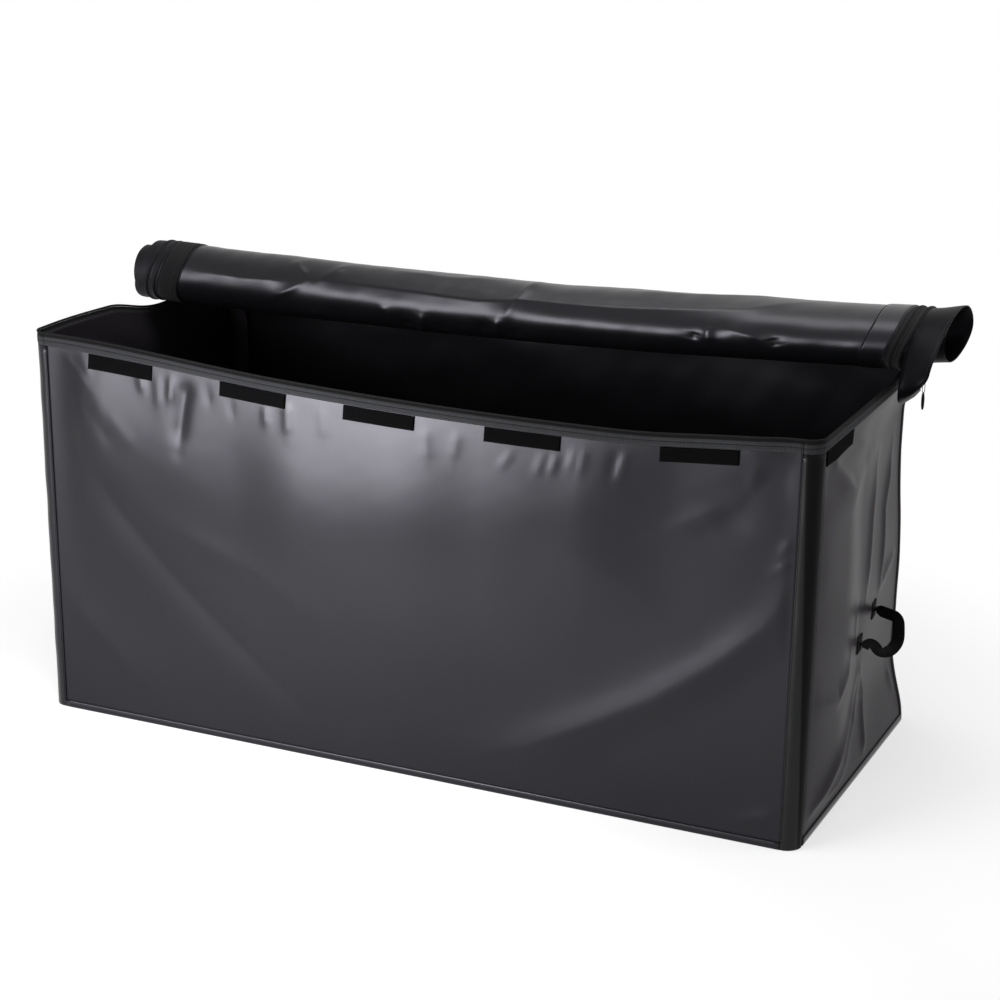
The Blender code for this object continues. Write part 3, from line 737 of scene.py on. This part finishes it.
def runs(points):
    """Distances along a row of points, from its start."""
    return np.concatenate([[0.0], np.cumsum(np.linalg.norm(np.diff(points, axis=0), axis=1))])


def cloth_map(points):
    """UV in metres from the lengths along the middle lines of a grid."""
    u = runs(points[:, points.shape[1] // 2])
    v = runs(points[points.shape[0] // 2])
    return np.stack(np.meshgrid(u, v, indexing="ij"), -1)


def mesh_of(name, grids, wrap=False):
    """One smooth mesh from grids of points, each closed round its second direction where wrap is set."""
    verts, faces, uvs, base = [], [], [], 0
    for points in grids:
        rows, cols = points.shape[:2]
        places = cloth_map(points).reshape(-1, 2)
        index = base + np.arange(rows * cols).reshape(rows, cols)
        right = np.roll(index, -1, 1) if wrap else index[:, 1:]
        left = index if wrap else index[:, :-1]
        quads = np.stack([left[:-1], left[1:], right[1:], right[:-1]], -1).reshape(-1, 4)
        verts.append(points.reshape(-1, 3))
        faces.append(quads)
        uvs.append(places[quads.ravel() - base])
        base += rows * cols
    quads = np.concatenate(faces)
    mesh = bpy.data.meshes.new(name)
    mesh.vertices.add(base)
    mesh.vertices.foreach_set("co", np.concatenate(verts).astype(np.float32).ravel())
    mesh.loops.add(quads.size)
    mesh.loops.foreach_set("vertex_index", quads.ravel().astype(np.int32))
    mesh.polygons.add(len(quads))
    mesh.polygons.foreach_set("loop_start", np.arange(0, quads.size, 4, dtype=np.int32))
    mesh.uv_layers.new(name="cloth")
    mesh.update(calc_edges=True)
    mesh.uv_layers["cloth"].data.foreach_set("uv", np.concatenate(uvs).astype(np.float32).ravel())
    mesh.shade_smooth()
    return mesh


def piece(name, grids, finish, body, nodes=(), thickness=0.0, wrap=False):
    """A named piece that rides on a body and stands for solids of the frame."""
    if isinstance(grids, np.ndarray):
        grids = [grids]
    obj = bpy.data.objects.new(name, mesh_of(name, grids, wrap))
    bpy.context.scene.collection.objects.link(obj)
    obj.data.materials.append(finish)
    if thickness > 0.0:
        solidify = obj.modifiers.new("thickness", "SOLIDIFY")
        solidify.thickness = thickness
        solidify.offset = 0.0
    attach(obj, body)
    if nodes:
        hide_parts(*([nodes] if isinstance(nodes, str) else nodes))
    return obj


def resample(points, spacing):
    """Evenly spaced points along a polyline."""
    length = runs(points)
    places = np.linspace(0.0, length[-1], max(2, int(round(length[-1] / spacing)) + 1))
    return np.stack([np.interp(places, length, points[:, axis]) for axis in range(3)], -1)


def frames(path, up):
    """Two unit directions across a path."""
    tangent = np.gradient(path, axis=0)
    tangent /= np.linalg.norm(tangent, axis=1, keepdims=True)
    side = np.cross(tangent, up)
    side /= np.linalg.norm(side, axis=1, keepdims=True)
    return side, np.cross(side, tangent)


def tube_grid(path, radii, sides, up):
    """A round tube along a path, drawn in at both ends."""
    side, lift = frames(path, up)
    angle = 2.0 * math.pi * np.arange(sides) / sides
    radii = np.array(radii, float)
    ring = side[:, None] * np.cos(angle)[None, :, None] + lift[:, None] * np.sin(angle)[None, :, None]
    grid = path[:, None] + ring * radii[:, None, None]
    first = path[:1, None] + ring[:1] * radii[0] * 0.02
    last = path[-1:, None] + ring[-1:] * radii[-1] * 0.02
    return np.concatenate([first, grid, last])


def coil_grid(path, up, shown=1.0):
    """A zip coil: a tube whose radius swells once for each turn of the filament."""
    fine = resample(path, COIL_PITCH / 3.0)
    radii = np.where(np.arange(len(fine)) % 3 == 0, 0.72, 1.0) * COIL_R * shown
    return tube_grid(fine, radii, 7, up)


def stitches(surface, us, vs):
    """Stitches along a line on a surface function of (u, v, off)."""
    us, vs = np.broadcast_arrays(np.asarray(us, float), np.asarray(vs, float))
    low = resample(surface(us, vs, 0.0), STITCH_PITCH)
    high = resample(surface(us, vs, 0.001), STITCH_PITCH)[:len(low)]
    count = min(len(low), len(high))
    low, high = low[:count], high[:count]
    up = high - low
    up /= np.maximum(1e-9, np.linalg.norm(up, axis=1, keepdims=True))
    tangent = np.gradient(low, axis=0)
    tangent /= np.linalg.norm(tangent, axis=1, keepdims=True)
    side = np.cross(tangent, up)
    made = []
    angle = 2.0 * math.pi * np.arange(5) / 5
    bend = ((-0.5, -0.3, 0.55), (-0.3, 0.55, 1.0), (0.3, 0.55, 1.0), (0.5, -0.3, 0.55))
    for index in range(count):
        rings = []
        for place, rise, size in bend:
            centre = low[index] + tangent[index] * place * STITCH_LENGTH + up[index] * rise * STITCH_R
            ring = side[index] * np.cos(angle)[:, None] + up[index] * np.sin(angle)[:, None]
            rings.append(centre + ring * STITCH_R * size)
        made.append(np.array(rings))
    return made


def sewing(name, lines, body, finish=THREAD):
    """One piece of all the stitches in some rows."""
    return piece(name, [ring for line in lines for ring in line], finish, body, wrap=True)


def raised(surface, lift):
    """A surface moved out by a lift: a length, or a function of the second coordinate."""
    def at(u, v, off=0.0):
        return surface(u, v, (lift(v) if callable(lift) else lift) + off)
    return at


def build_walls():
    """Four sagging walls. Each is a sheet with its folds."""
    rows = np.concatenate([steps(LAYER, 0.040, 6)[:-1], steps(0.040, HEIGHT - 0.0095, 112)])
    back_rows = np.concatenate([steps(LAYER, 0.040, 4)[:-1], steps(0.040, HEIGHT - 0.002, 60)])
    ys = steps(-END_HALF, END_HALF, 150)
    walls = (
        ("front_wall", "front_panel", front_at, steps(-1.0, 1.0, 236), rows, PANEL, 1.130, "front_left"),
        ("back_wall", "back_panel", back_at, steps(1.0, -1.0, 120), back_rows, PANEL, 1.112, "back_left"),
        ("left_wall", "left_end_panel", partial(end_at, -1), -ys, rows, END_PANEL_PAINTED_SHEEN, 0.470, "front_left"),
        ("right_wall", "right_end_panel", partial(end_at, 1), ys, rows, END_PANEL_PAINTED_SHEEN, 0.470, "front_right"),
    )
    for name, node, surface, across, heights, finish, width, spot in walls:
        wall = piece(name, lay(surface, across, heights), finish, "bag", node, SHEET)
        rests_on = ["corner_cloth_" + spot, "base_binding"]


def build_floor():
    """Floor sheet with rounded corners, a little uneven where nothing rests on it."""
    half_x, half_y, radius = WIDTH / 2.0, DEPTH / 2.0, CORNER_R + SHEET / 2.0

    def floor(u, v):
        y = v * (half_y + SHEET / 2.0)
        inset = np.maximum(0.0, np.abs(y) - (half_y - CORNER_R))
        reach = half_x - CORNER_R + np.sqrt(np.maximum(0.0, radius ** 2 - inset ** 2))
        x = u * reach
        fade = bell(u * 0.98) * bell(v * 0.98)
        z = SHEET / 2.0 + fade * 0.0012 * (1.0 + ripple(x, y, 1.9, 0.26))
        return np.stack([x, y, z], -1)
    vs = np.concatenate([steps(-1.0, -0.92, 8)[:-1], steps(-0.92, 0.92, 40), steps(0.92, 1.0, 8)[1:]])
    grid = lay(floor, steps(-1.0, 1.0, 96), vs)
    sheet = piece("floor_sheet", grid, LINING, "bag", "bottom_panel", SHEET)


def build_corners():
    """Fabric wrapped round each corner that lies down at both edges, with a row of stitches along each."""
    rows = np.concatenate([[FOOT, 0.004, 0.008, 0.012], steps(0.020, HEIGHT - 0.042, 60), [HEIGHT - 0.030]])
    around = np.concatenate([[-CORNER_LAP], steps(0.0, CORNER_ARC, 10), [CORNER_ARC + CORNER_LAP]])
    lines = []
    for side, word in SIDES:
        for facing, place in ((-1, "front"), (1, "back")):
            spot = place + "_" + word
            top = STRIP_TOP if facing < 0 else HEIGHT - 0.001
            bare = partial(corner_at, side, facing)

            def wrapped(run, z0, side=side, bare=bare):
                soft = 0.0007 * ripple(z0, run, 0.3 + side, 0.075) * smooth(z0 / 0.05)
                inner = np.minimum(run + CORNER_LAP, CORNER_ARC + CORNER_LAP - run)
                lie = 0.0009 * (1.0 - smooth(inner / 0.005))
                return bare(run, z0, OUTER - lie + np.maximum(-0.0003, soft) * smooth(inner / 0.01))
            order = around if side * facing < 0 else around[::-1]
            grid = lay(wrapped, order, np.append(rows, top))
            piece("corner_cloth_" + spot, grid, CORNER_CLOTHS[spot], "bag",
                  "corner_seam_" + spot, LAP)
            for run in (-CORNER_LAP + 0.0016, CORNER_ARC + CORNER_LAP - 0.0016):
                lines.append(stitches(raised(bare, OVER), run, steps(0.012, top - 0.004, 90)))
    sewing("corner_stitching", lines, "bag", BLACK_THREAD)


def build_base():
    """The binding along the base, with its row of stitches."""
    heights = FOOT + np.array([0.0, 0.0015, 0.005, 0.008, BINDING])
    edges = []
    for surface, place, facing in ((front_at, "front", -1), (back_at, "back", 1)):
        reach = 1.0 - (CORNER_LAP + GAP) / panel_half(facing, 0.0)
        edges.append((place, surface, steps(-reach, reach, 160) * -facing))
    reach = END_HALF - CORNER_LAP - GAP
    for side, word in SIDES:
        edges.append((word, partial(end_at, side), steps(-reach, reach, 70) * side))

    def roll(z0):
        return OUTER + 0.0006 * np.sin(math.pi * (z0 - FOOT) / BINDING)
    grids, lines, names = [], [], []
    for place, surface, across in edges:
        grids.append(lay(raised(surface, roll), across, heights))
        lines.append(stitches(raised(surface, OVER + 0.0005), across, FOOT + 0.0068))
        names.append("base_binding_" + place)
    piece("base_binding", grids, PANEL, "bag", names, LAP)
    sewing("base_stitching", lines, "bag")


def build_rim():
    """Zip tape round three sides, with its coil and two rows of stitches."""
    heights = steps(RIM_TAPE_LOW, RIM_TAPE_TOP, 6)
    ys = steps(-(END_HALF - 0.0003), END_HALF - CORNER_LAP - 0.0064, 90)
    us = steps(-0.9995, 0.9995, 220)
    turn = steps(0.0, CORNER_ARC, 10)
    sewn = (RIM_TAPE_LOW + 0.0022, RIM_TAPE_LOW + 0.0088)

    def round_off(z0):
        share = (z0 - RIM_TAPE_LOW) / (RIM_TAPE_TOP - RIM_TAPE_LOW)
        return OUTER + 0.0007 * np.sin(math.pi * share) ** 0.6
    lines = [stitches(raised(front_at, OVER + 0.0006), us, z0) for z0 in sewn]
    grid = lay(raised(front_at, round_off), us, heights)
    piece("rim_tape_front_cloth", grid, TAPE, "bag", "rim_tape_front", LAP)
    for side, word in SIDES:
        end = partial(end_at, side)
        grids = [lay(raised(end, round_off), ys[::side], heights)]
        grids.append(lay(raised(partial(corner_at, side, -1), round_off), turn[::side], heights))
        nodes = ("rim_tape_" + word, "rim_tape_corner_" + word)
        piece("rim_tape_%s_cloth" % word, grids, TAPE, "bag", nodes, LAP)
        lines += [stitches(raised(end, OVER + 0.0006), ys, z0) for z0 in sewn]
    sewing("rim_stitching", lines, "bag")

    z0 = HEIGHT - COIL_R
    path = np.concatenate([
        end_at(-1, ys[::-1], z0 + 0.0 * ys, LAYER),
        corner_at(-1, -1, turn[::-1], z0, LAYER),
        front_at(us, z0 + 0.0 * us, LAYER),
        corner_at(1, -1, turn, z0, LAYER),
        end_at(1, ys, z0 + 0.0 * ys, LAYER),
    ])
    coil = coil_grid(path, np.array((0.0, 0.0, 1.0)))
    piece("rim_coil", coil, COIL, "bag", "rim_zip_coil", wrap=True)


def build_hem():
    """A hem along the back, whose top edge turns out to the lid's hinge."""
    reach = 1.0 - (CORNER_LAP + GAP) / panel_half(1, HEIGHT)
    us = steps(reach, -reach, 110)
    rows = np.append(steps(HEIGHT - 0.026, HEIGHT + 0.0024, 5), (HEIGHT + 0.0031, HEIGHT + 0.0036))

    def curl(z0):
        roll = 0.0006 * np.sin(math.pi * np.minimum(1.0, (z0 - HEIGHT + 0.026) / 0.0284))
        return OUTER + roll + 0.0040 * np.clip((z0 - HEIGHT - 0.0024) / 0.0012, 0.0, 1.0)
    piece("back_hem_cloth", lay(raised(back_at, curl), us, rows), SEAM, "bag", "back_hem", LAP)
    lines = [stitches(raised(back_at, OVER + 0.0005), us, HEIGHT - drop) for drop in (0.022, 0.007)]
    sewing("hem_stitching", lines, "bag")


def border(u_pair, v_pair, inset_u, inset_v):
    """The four sides of a sewn rectangle as (u, v) runs."""
    u0, u1 = u_pair[0] + inset_u, u_pair[1] - inset_u
    v0, v1 = v_pair[0] + inset_v, v_pair[1] - inset_v
    count = 24
    return (
        (steps(u0, u1, count), np.full(count + 1, v0)),
        (np.full(count + 1, u1), steps(v0, v1, count)),
        (steps(u1, u0, count), np.full(count + 1, v1)),
        (np.full(count + 1, u0), steps(v1, v0, count)),
    )


def build_strips():
    """Loop strips under the rim, each sewn round its edge."""
    heights = steps(STRIP_TOP - STRIP_HEIGHT, STRIP_TOP, 6)
    half = panel_half(-1, STRIP_TOP)
    inset = 0.0014
    strips = []
    for number, centre in enumerate(STRIP_CENTRES, 1):
        span = ((centre - STRIP_WIDTH / 2.0) / half, (centre + STRIP_WIDTH / 2.0) / half)
        strips.append(("front_%d" % number, front_at, span, inset / half, 1))
    for side, word in SIDES:
        strips.append((word, partial(end_at, side), END_STRIP_Y, inset, side))
    lines = []
    for spot, surface, span, inset_u, order in strips:
        name = "loop_strip_" + spot
        grid = lay(raised(surface, OUTER + 0.0003), steps(*span, 28)[::order], heights)
        piece(name + "_pile", grid, LOOP, "bag", name, PILE)
        for us, vs in border(span, (heights[0], heights[-1]), inset_u, inset):
            lines.append(stitches(raised(surface, OVER + 0.0006), us, vs))
    sewing("strip_stitching", lines, "bag", BLACK_THREAD)


def strap_section(half, thick, count=18):
    """Outline of a flat strap with rounded edges: positions across it and through it."""
    angle = 2.0 * math.pi * np.arange(count) / count
    across = np.sign(np.cos(angle)) * np.abs(np.cos(angle)) ** 0.35
    through = np.sign(np.sin(angle)) * np.abs(np.sin(angle)) ** 0.55
    return across * half, through * thick / 2.0


def bent_line(corners, radius):
    """A line through corners that are rounded off, as evenly spaced points."""
    points = [corners[0]]
    for before, corner, after in zip(corners, corners[1:], corners[2:]):
        first = before - corner
        last = after - corner
        first *= min(radius, 0.45 * np.linalg.norm(first)) / np.linalg.norm(first)
        last *= min(radius, 0.45 * np.linalg.norm(last)) / np.linalg.norm(last)
        for t in steps(0.0, 1.0, 8):
            points.append(corner + first * (1.0 - t) ** 2 + last * t ** 2)
    points.append(corners[-1])
    return resample(np.array(points), 0.0018)


def build_handle(side, word):
    """A folded webbing loop on an end wall, with a sewn patch under each root."""
    front = end_at(side, *map(np.array, HANDLE_FRONT), HANDLE_AXIS_OFF)
    back = end_at(side, *map(np.array, HANDLE_BACK), HANDLE_AXIS_OFF)
    along = (back - front) / np.linalg.norm(back - front)
    out = np.array((side, 0.0, 0.0))
    out = out - along * out.dot(along)
    out /= np.linalg.norm(out)
    up = np.cross(out, along) * side
    corners = [back] + [np.array((side * x, y, z)) for x, y, z in STRAP_LINE] + [front]
    path = bent_line(corners, 0.011)
    run = runs(path)
    s = run / run[-1]
    tangent = np.gradient(path, axis=0)
    tangent /= np.linalg.norm(tangent, axis=1, keepdims=True)
    face = np.array((0.0, -1.0, 0.0)) + tangent * tangent[:, 1:2]
    face /= np.linalg.norm(face, axis=1, keepdims=True)
    width = np.cross(face, tangent)
    half = STRAP_ROOT + (STRAP_HALF - STRAP_ROOT) * smooth(np.minimum(s, 1.0 - s) / 0.06)
    layers = []
    for centre, shrink in ((0.27, 1.0), (-0.27, 0.94)):
        rows = []
        for index in range(len(s)):
            across, through = strap_section(half[index] * shrink, STRAP * 0.44)
            deep = through + centre * STRAP
            rows.append(path[index] + width[index] * across[:, None] + face[index] * deep[:, None])
        layers.append(np.array(rows))
    piece("handle_strap_" + word, layers, WEBBING, "handle_" + word, "handle_" + word, wrap=True)

    def on_strap(at, w, off):
        index = np.clip(np.round(at).astype(int), 0, len(s) - 1)
        return path[index] + width[index] * (w * half[index])[:, None] + face[index] * (0.5 * STRAP + off)
    sewn = np.arange(0.16 * len(s), 0.84 * len(s))
    lines = [stitches(on_strap, sewn, np.full(len(sewn), w)) for w in (-0.72, 0.72)]
    sewing("handle_stitching_" + word, lines, "handle_" + word, BLACK_THREAD)

    tabs = []
    for root in (front, back):
        rows = []
        for reach in steps(-HANDLE_AXIS_OFF + 0.0016, -0.0006, 6):
            across, through = strap_section(max(0.0004, -1.55 * reach), STRAP * 0.8)
            rows.append(root + out * reach + up * across[:, None] + along * through[:, None])
        tabs.append(np.array(rows))
    piece("handle_roots_" + word, tabs, WEBBING, "bag", wrap=True)

    wall = partial(end_at, side)
    lines = []
    for place, spot in (("front", HANDLE_FRONT), ("back", HANDLE_BACK)):
        span_y = (spot[0] - PATCH_SIZE / 2.0, spot[0] + PATCH_SIZE / 2.0)
        span_z = (spot[1] - PATCH_SIZE / 2.0, spot[1] + PATCH_SIZE / 2.0)
        name = "handle_patch_%s_%s" % (place, word)
        grid = lay(raised(wall, 0.0014), steps(*span_y, 8)[::side], steps(*span_z, 8))
        piece(name + "_web", grid, WEBBING, "bag", name, SHEET)
        across = steps(span_y[0] + 0.003, span_y[1] - 0.003, 20)
        rise = steps(span_z[0] + 0.003, span_z[1] - 0.003, 20)
        crossed = ((across, rise), (across, rise[::-1]))
        for us, vs in border(span_y, span_z, 0.0022, 0.0022) + crossed:
            lines.append(stitches(raised(wall, 0.0020), us, vs))
    sewing("patch_stitching_" + word, lines, "bag", BLACK_THREAD)


def plain_roll(x, s, out=0.0):
    """The lid's surface without its folds."""
    return roll_at(x, s, out, False)


def roll_end(side, x, s, out=0.0):
    """The plain roll at a distance x from its middle, towards one end."""
    return plain_roll(side * x, s, out)


def build_lid():
    """The lid rolled with its underside out, and its front skirt, tape and hook strips wound inside."""
    around = [steps(-1.0, 0.0, 14)[:-1], steps(0.0, 0.8, 110)[:-1], steps(0.8, TURNS, 38)]
    grid = lay(roll_at, steps(-LID_HALF, LID_HALF, 300), np.concatenate(around))
    lid = piece("lid_rolled_sheet", grid, ROLLED, "lid", "lid_sheet", SHEET)

    grid = lay(plain_roll, steps(-LID_HALF, LID_HALF, 60), steps(TURNS + 0.006, SKIRT_TURNS, 30))
    front = piece("lid_front_skirt", grid, ROLLED, "lid", "lid_skirt_front", SHEET)

    reach = LID_HALF - 0.07
    grid = lay(raised(plain_roll, OUTER), steps(-reach, reach, 60), steps(TURNS + 0.02, TURNS + 0.14, 8))
    piece("lid_front_tape", grid, TAPE, "lid", "lid_zip_tape_front", LAP)
    for number, centre in enumerate(STRIP_CENTRES, 1):
        span = steps(centre - STRIP_WIDTH / 2.0, centre + STRIP_WIDTH / 2.0, 12)
        grid = lay(raised(plain_roll, -OUTER), span, steps(1.72, 1.80, 4))
        name = "hook_strip_front_%d" % number
        piece(name + "_hooks", grid, LOOP, "lid", name, LAP)


def build_lid_ends():
    """Zip tape, coil, seam band and skirt at each end of the lid, with their rows of stitches."""
    skirt_turn = np.concatenate([steps(-0.8, 0.0, 24)[:-1], steps(0.0, TURNS, 140)])
    hanging = np.concatenate([steps(-0.05, 0.0, 4)[:-1], steps(0.0, TURNS, 140)])
    tape_turn = np.concatenate([steps(-0.6, 0.0, 18)[:-1], steps(0.0, TURNS - 0.05, 140)])
    shown = steps(-0.5, 1.0, 220)
    edge = LID_HALF - 0.002
    seam = LID_HALF + 0.0004
    hang = DROOP_START + 0.012
    lines = []
    for side, word in SIDES:
        tape_cloth, seam_cloth, skirt_cloth = LID_END_CLOTHS[side]
        plain = partial(roll_end, side)
        skirt = partial(skirt_at, side)

        def band(x, s, plain=plain):
            share = (x - seam) / (SEAM_EDGE - seam)
            first = 0.0022 * np.exp(-((share - 0.30) / 0.10) ** 2)
            second = 0.0026 * np.exp(-((share - 0.86) / 0.09) ** 2)
            return plain(x, s, first + second)
        grid = lay(raised(plain, OUTER), steps(edge - LID_TAPE, edge, 18)[::side], tape_turn)
        piece("lid_tape_" + word, grid, tape_cloth, "lid", "lid_zip_tape_" + word, 0.0016)
        grid = lay(band, steps(seam, SEAM_EDGE, 24)[::side], skirt_turn)
        piece("lid_seam_" + word, grid, seam_cloth, "lid", "lid_seam_band_" + word, SHEET)
        free = LID_HALF + SKIRT[side]
        places = np.concatenate([steps(SEAM_EDGE + 0.0003, hang, 16)[:-1], steps(hang, free, 22)])
        turned, start, length = (skirt_turn, -0.6, 0.580) if side < 0 else (hanging, -0.04, 0.560)
        grid = lay(skirt, places[::side], turned)
        flap = piece("lid_end_skirt_" + word, grid, skirt_cloth, "lid",
                     "lid_skirt_" + word, SHEET)
        coil_x = edge - LID_TAPE - COIL_R - 0.0003
        path = plain(coil_x + 0.0 * tape_turn, tape_turn, SHEET / 2.0 + 0.3 * COIL_R)
        coil = coil_grid(path, np.array((1.0, 0.0, 0.0)), 0.55)
        piece("lid_coil_" + word, coil, ROLLED, "lid", "lid_zip_coil_" + word, wrap=True)
        on_tape = raised(plain, OVER + 0.0004)
        lines.append(stitches(on_tape, edge - 0.003, shown))
        lines.append(stitches(on_tape, edge - LID_TAPE + 0.010, shown))
        lines.append(stitches(raised(plain, SHEET / 2.0), LID_HALF + 0.0125, shown))
        lines.append(stitches(raised(skirt, SHEET / 2.0), free - 0.005, steps(start, 1.0, 220)))
    sewing("lid_stitching", lines, "lid")


def finish_hardware():
    """The slider, its pull and the end stops keep their solids and get their finishes."""
    for name, finish in (("zip_slider", ENAMEL), ("zip_pull_loop", WEBBING), ("zip_pull_tip", MOULDED),
                         ("zip_stop_left", MOULDED), ("zip_stop_right", MOULDED)):
        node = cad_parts[name]
        node.data.materials.clear()
        node.data.materials.append(finish)


def build_camera():
    camera = bpy.data.objects.new("camera", bpy.data.cameras.new("camera"))
    camera.data.lens = LENS
    camera.data.sensor_width = 36.0
    camera.location = EYE
    look = (TARGET - EYE).normalized()
    right = look.cross(Vector((0.0, 0.0, 1.0))).normalized()
    up = right.cross(look)
    tilted = right * math.cos(ROLL) + up * math.sin(ROLL)
    upright = up * math.cos(ROLL) - right * math.sin(ROLL)
    camera.matrix_world = Matrix.Translation(EYE) @ Matrix((tilted, upright, -look)).transposed().to_4x4()
    bpy.context.scene.collection.objects.link(camera)
    bpy.context.scene.camera = camera


def softbox(name, place, target, size, power):
    lamp = bpy.data.lights.new(name, "AREA")
    lamp.shape = "RECTANGLE"
    lamp.size, lamp.size_y = size
    lamp.energy = power
    obj = bpy.data.objects.new(name, lamp)
    obj.location = place
    obj.rotation_mode = "QUATERNION"
    obj.rotation_quaternion = (Vector(target) - Vector(place)).to_track_quat("-Z", "Y")
    bpy.context.scene.collection.objects.link(obj)


def build_stage():
    """A pale floor that goes over into a white surround, with soft studio light."""
    f = Finish("studio_floor")
    place = f.node("ShaderNodeTexCoord", output="Object")
    x, y = f.split(place)
    near = y.between(-0.9, -0.30)
    far = y.between(-3.6, -2.2, 1.0, 0.0)
    share = (x * x + y * y).between(0.2, 1.1, 0.62, 1.0) * (near + far)
    glow = f.node("ShaderNodeEmission", None, {"Color": (1.0, 1.0, 1.0), "Strength": 1.0})
    f.set(Base_Color=(0.82, 0.82, 0.82), Roughness=0.9, Specular_IOR_Level=0.1)
    output = f.tree.nodes["Material Output"]
    plain = Value(f, f.shader.outputs[0])
    mixed = f.node("ShaderNodeMixShader", None, {0: share * f.seen(), 1: plain, 2: glow})
    f.tree.links.new(mixed.socket, output.inputs["Surface"])
    size = 30.0
    corners = np.array([[(-size, -size, 0.0), (-size, size, 0.0)], [(size, -size, 0.0), (size, size, 0.0)]])
    floor = bpy.data.objects.new("studio_floor", mesh_of("studio_floor", [corners]))
    floor.data.materials.append(f.material)
    bpy.context.scene.collection.objects.link(floor)

    surround = Finish("surround", True)
    surround.set(Color=(1.0, 1.0, 1.0), Strength=0.25 + 0.75 * surround.seen())
    bpy.context.scene.world = surround.material

    softbox("key_softbox", (-1.38, -2.70, 0.83), (-0.20, -0.27, 0.40), (1.4, 1.6), 128.0)
    softbox("floor_softbox", (-0.22, -0.70, 0.60), (-0.22, -0.69, 0.0), (0.4, 0.4), 11.0)
    softbox("top_softbox", (0.2, 0.3, 2.6), (0.1, 0.1, 0.45), (2.2, 0.8), 30.0)
    softbox("side_softbox", (2.6, 0.6, 1.5), (0.55, 0.0, 0.35), (1.0, 1.2), 18.0)
    bpy.context.scene.view_settings.view_transform = "Standard"


build_camera()
build_walls()
build_floor()
build_corners()
build_base()
build_rim()
build_hem()
build_strips()
for side, word in SIDES:
    build_handle(side, word)
build_lid()
build_lid_ends()
finish_hardware()
build_stage()
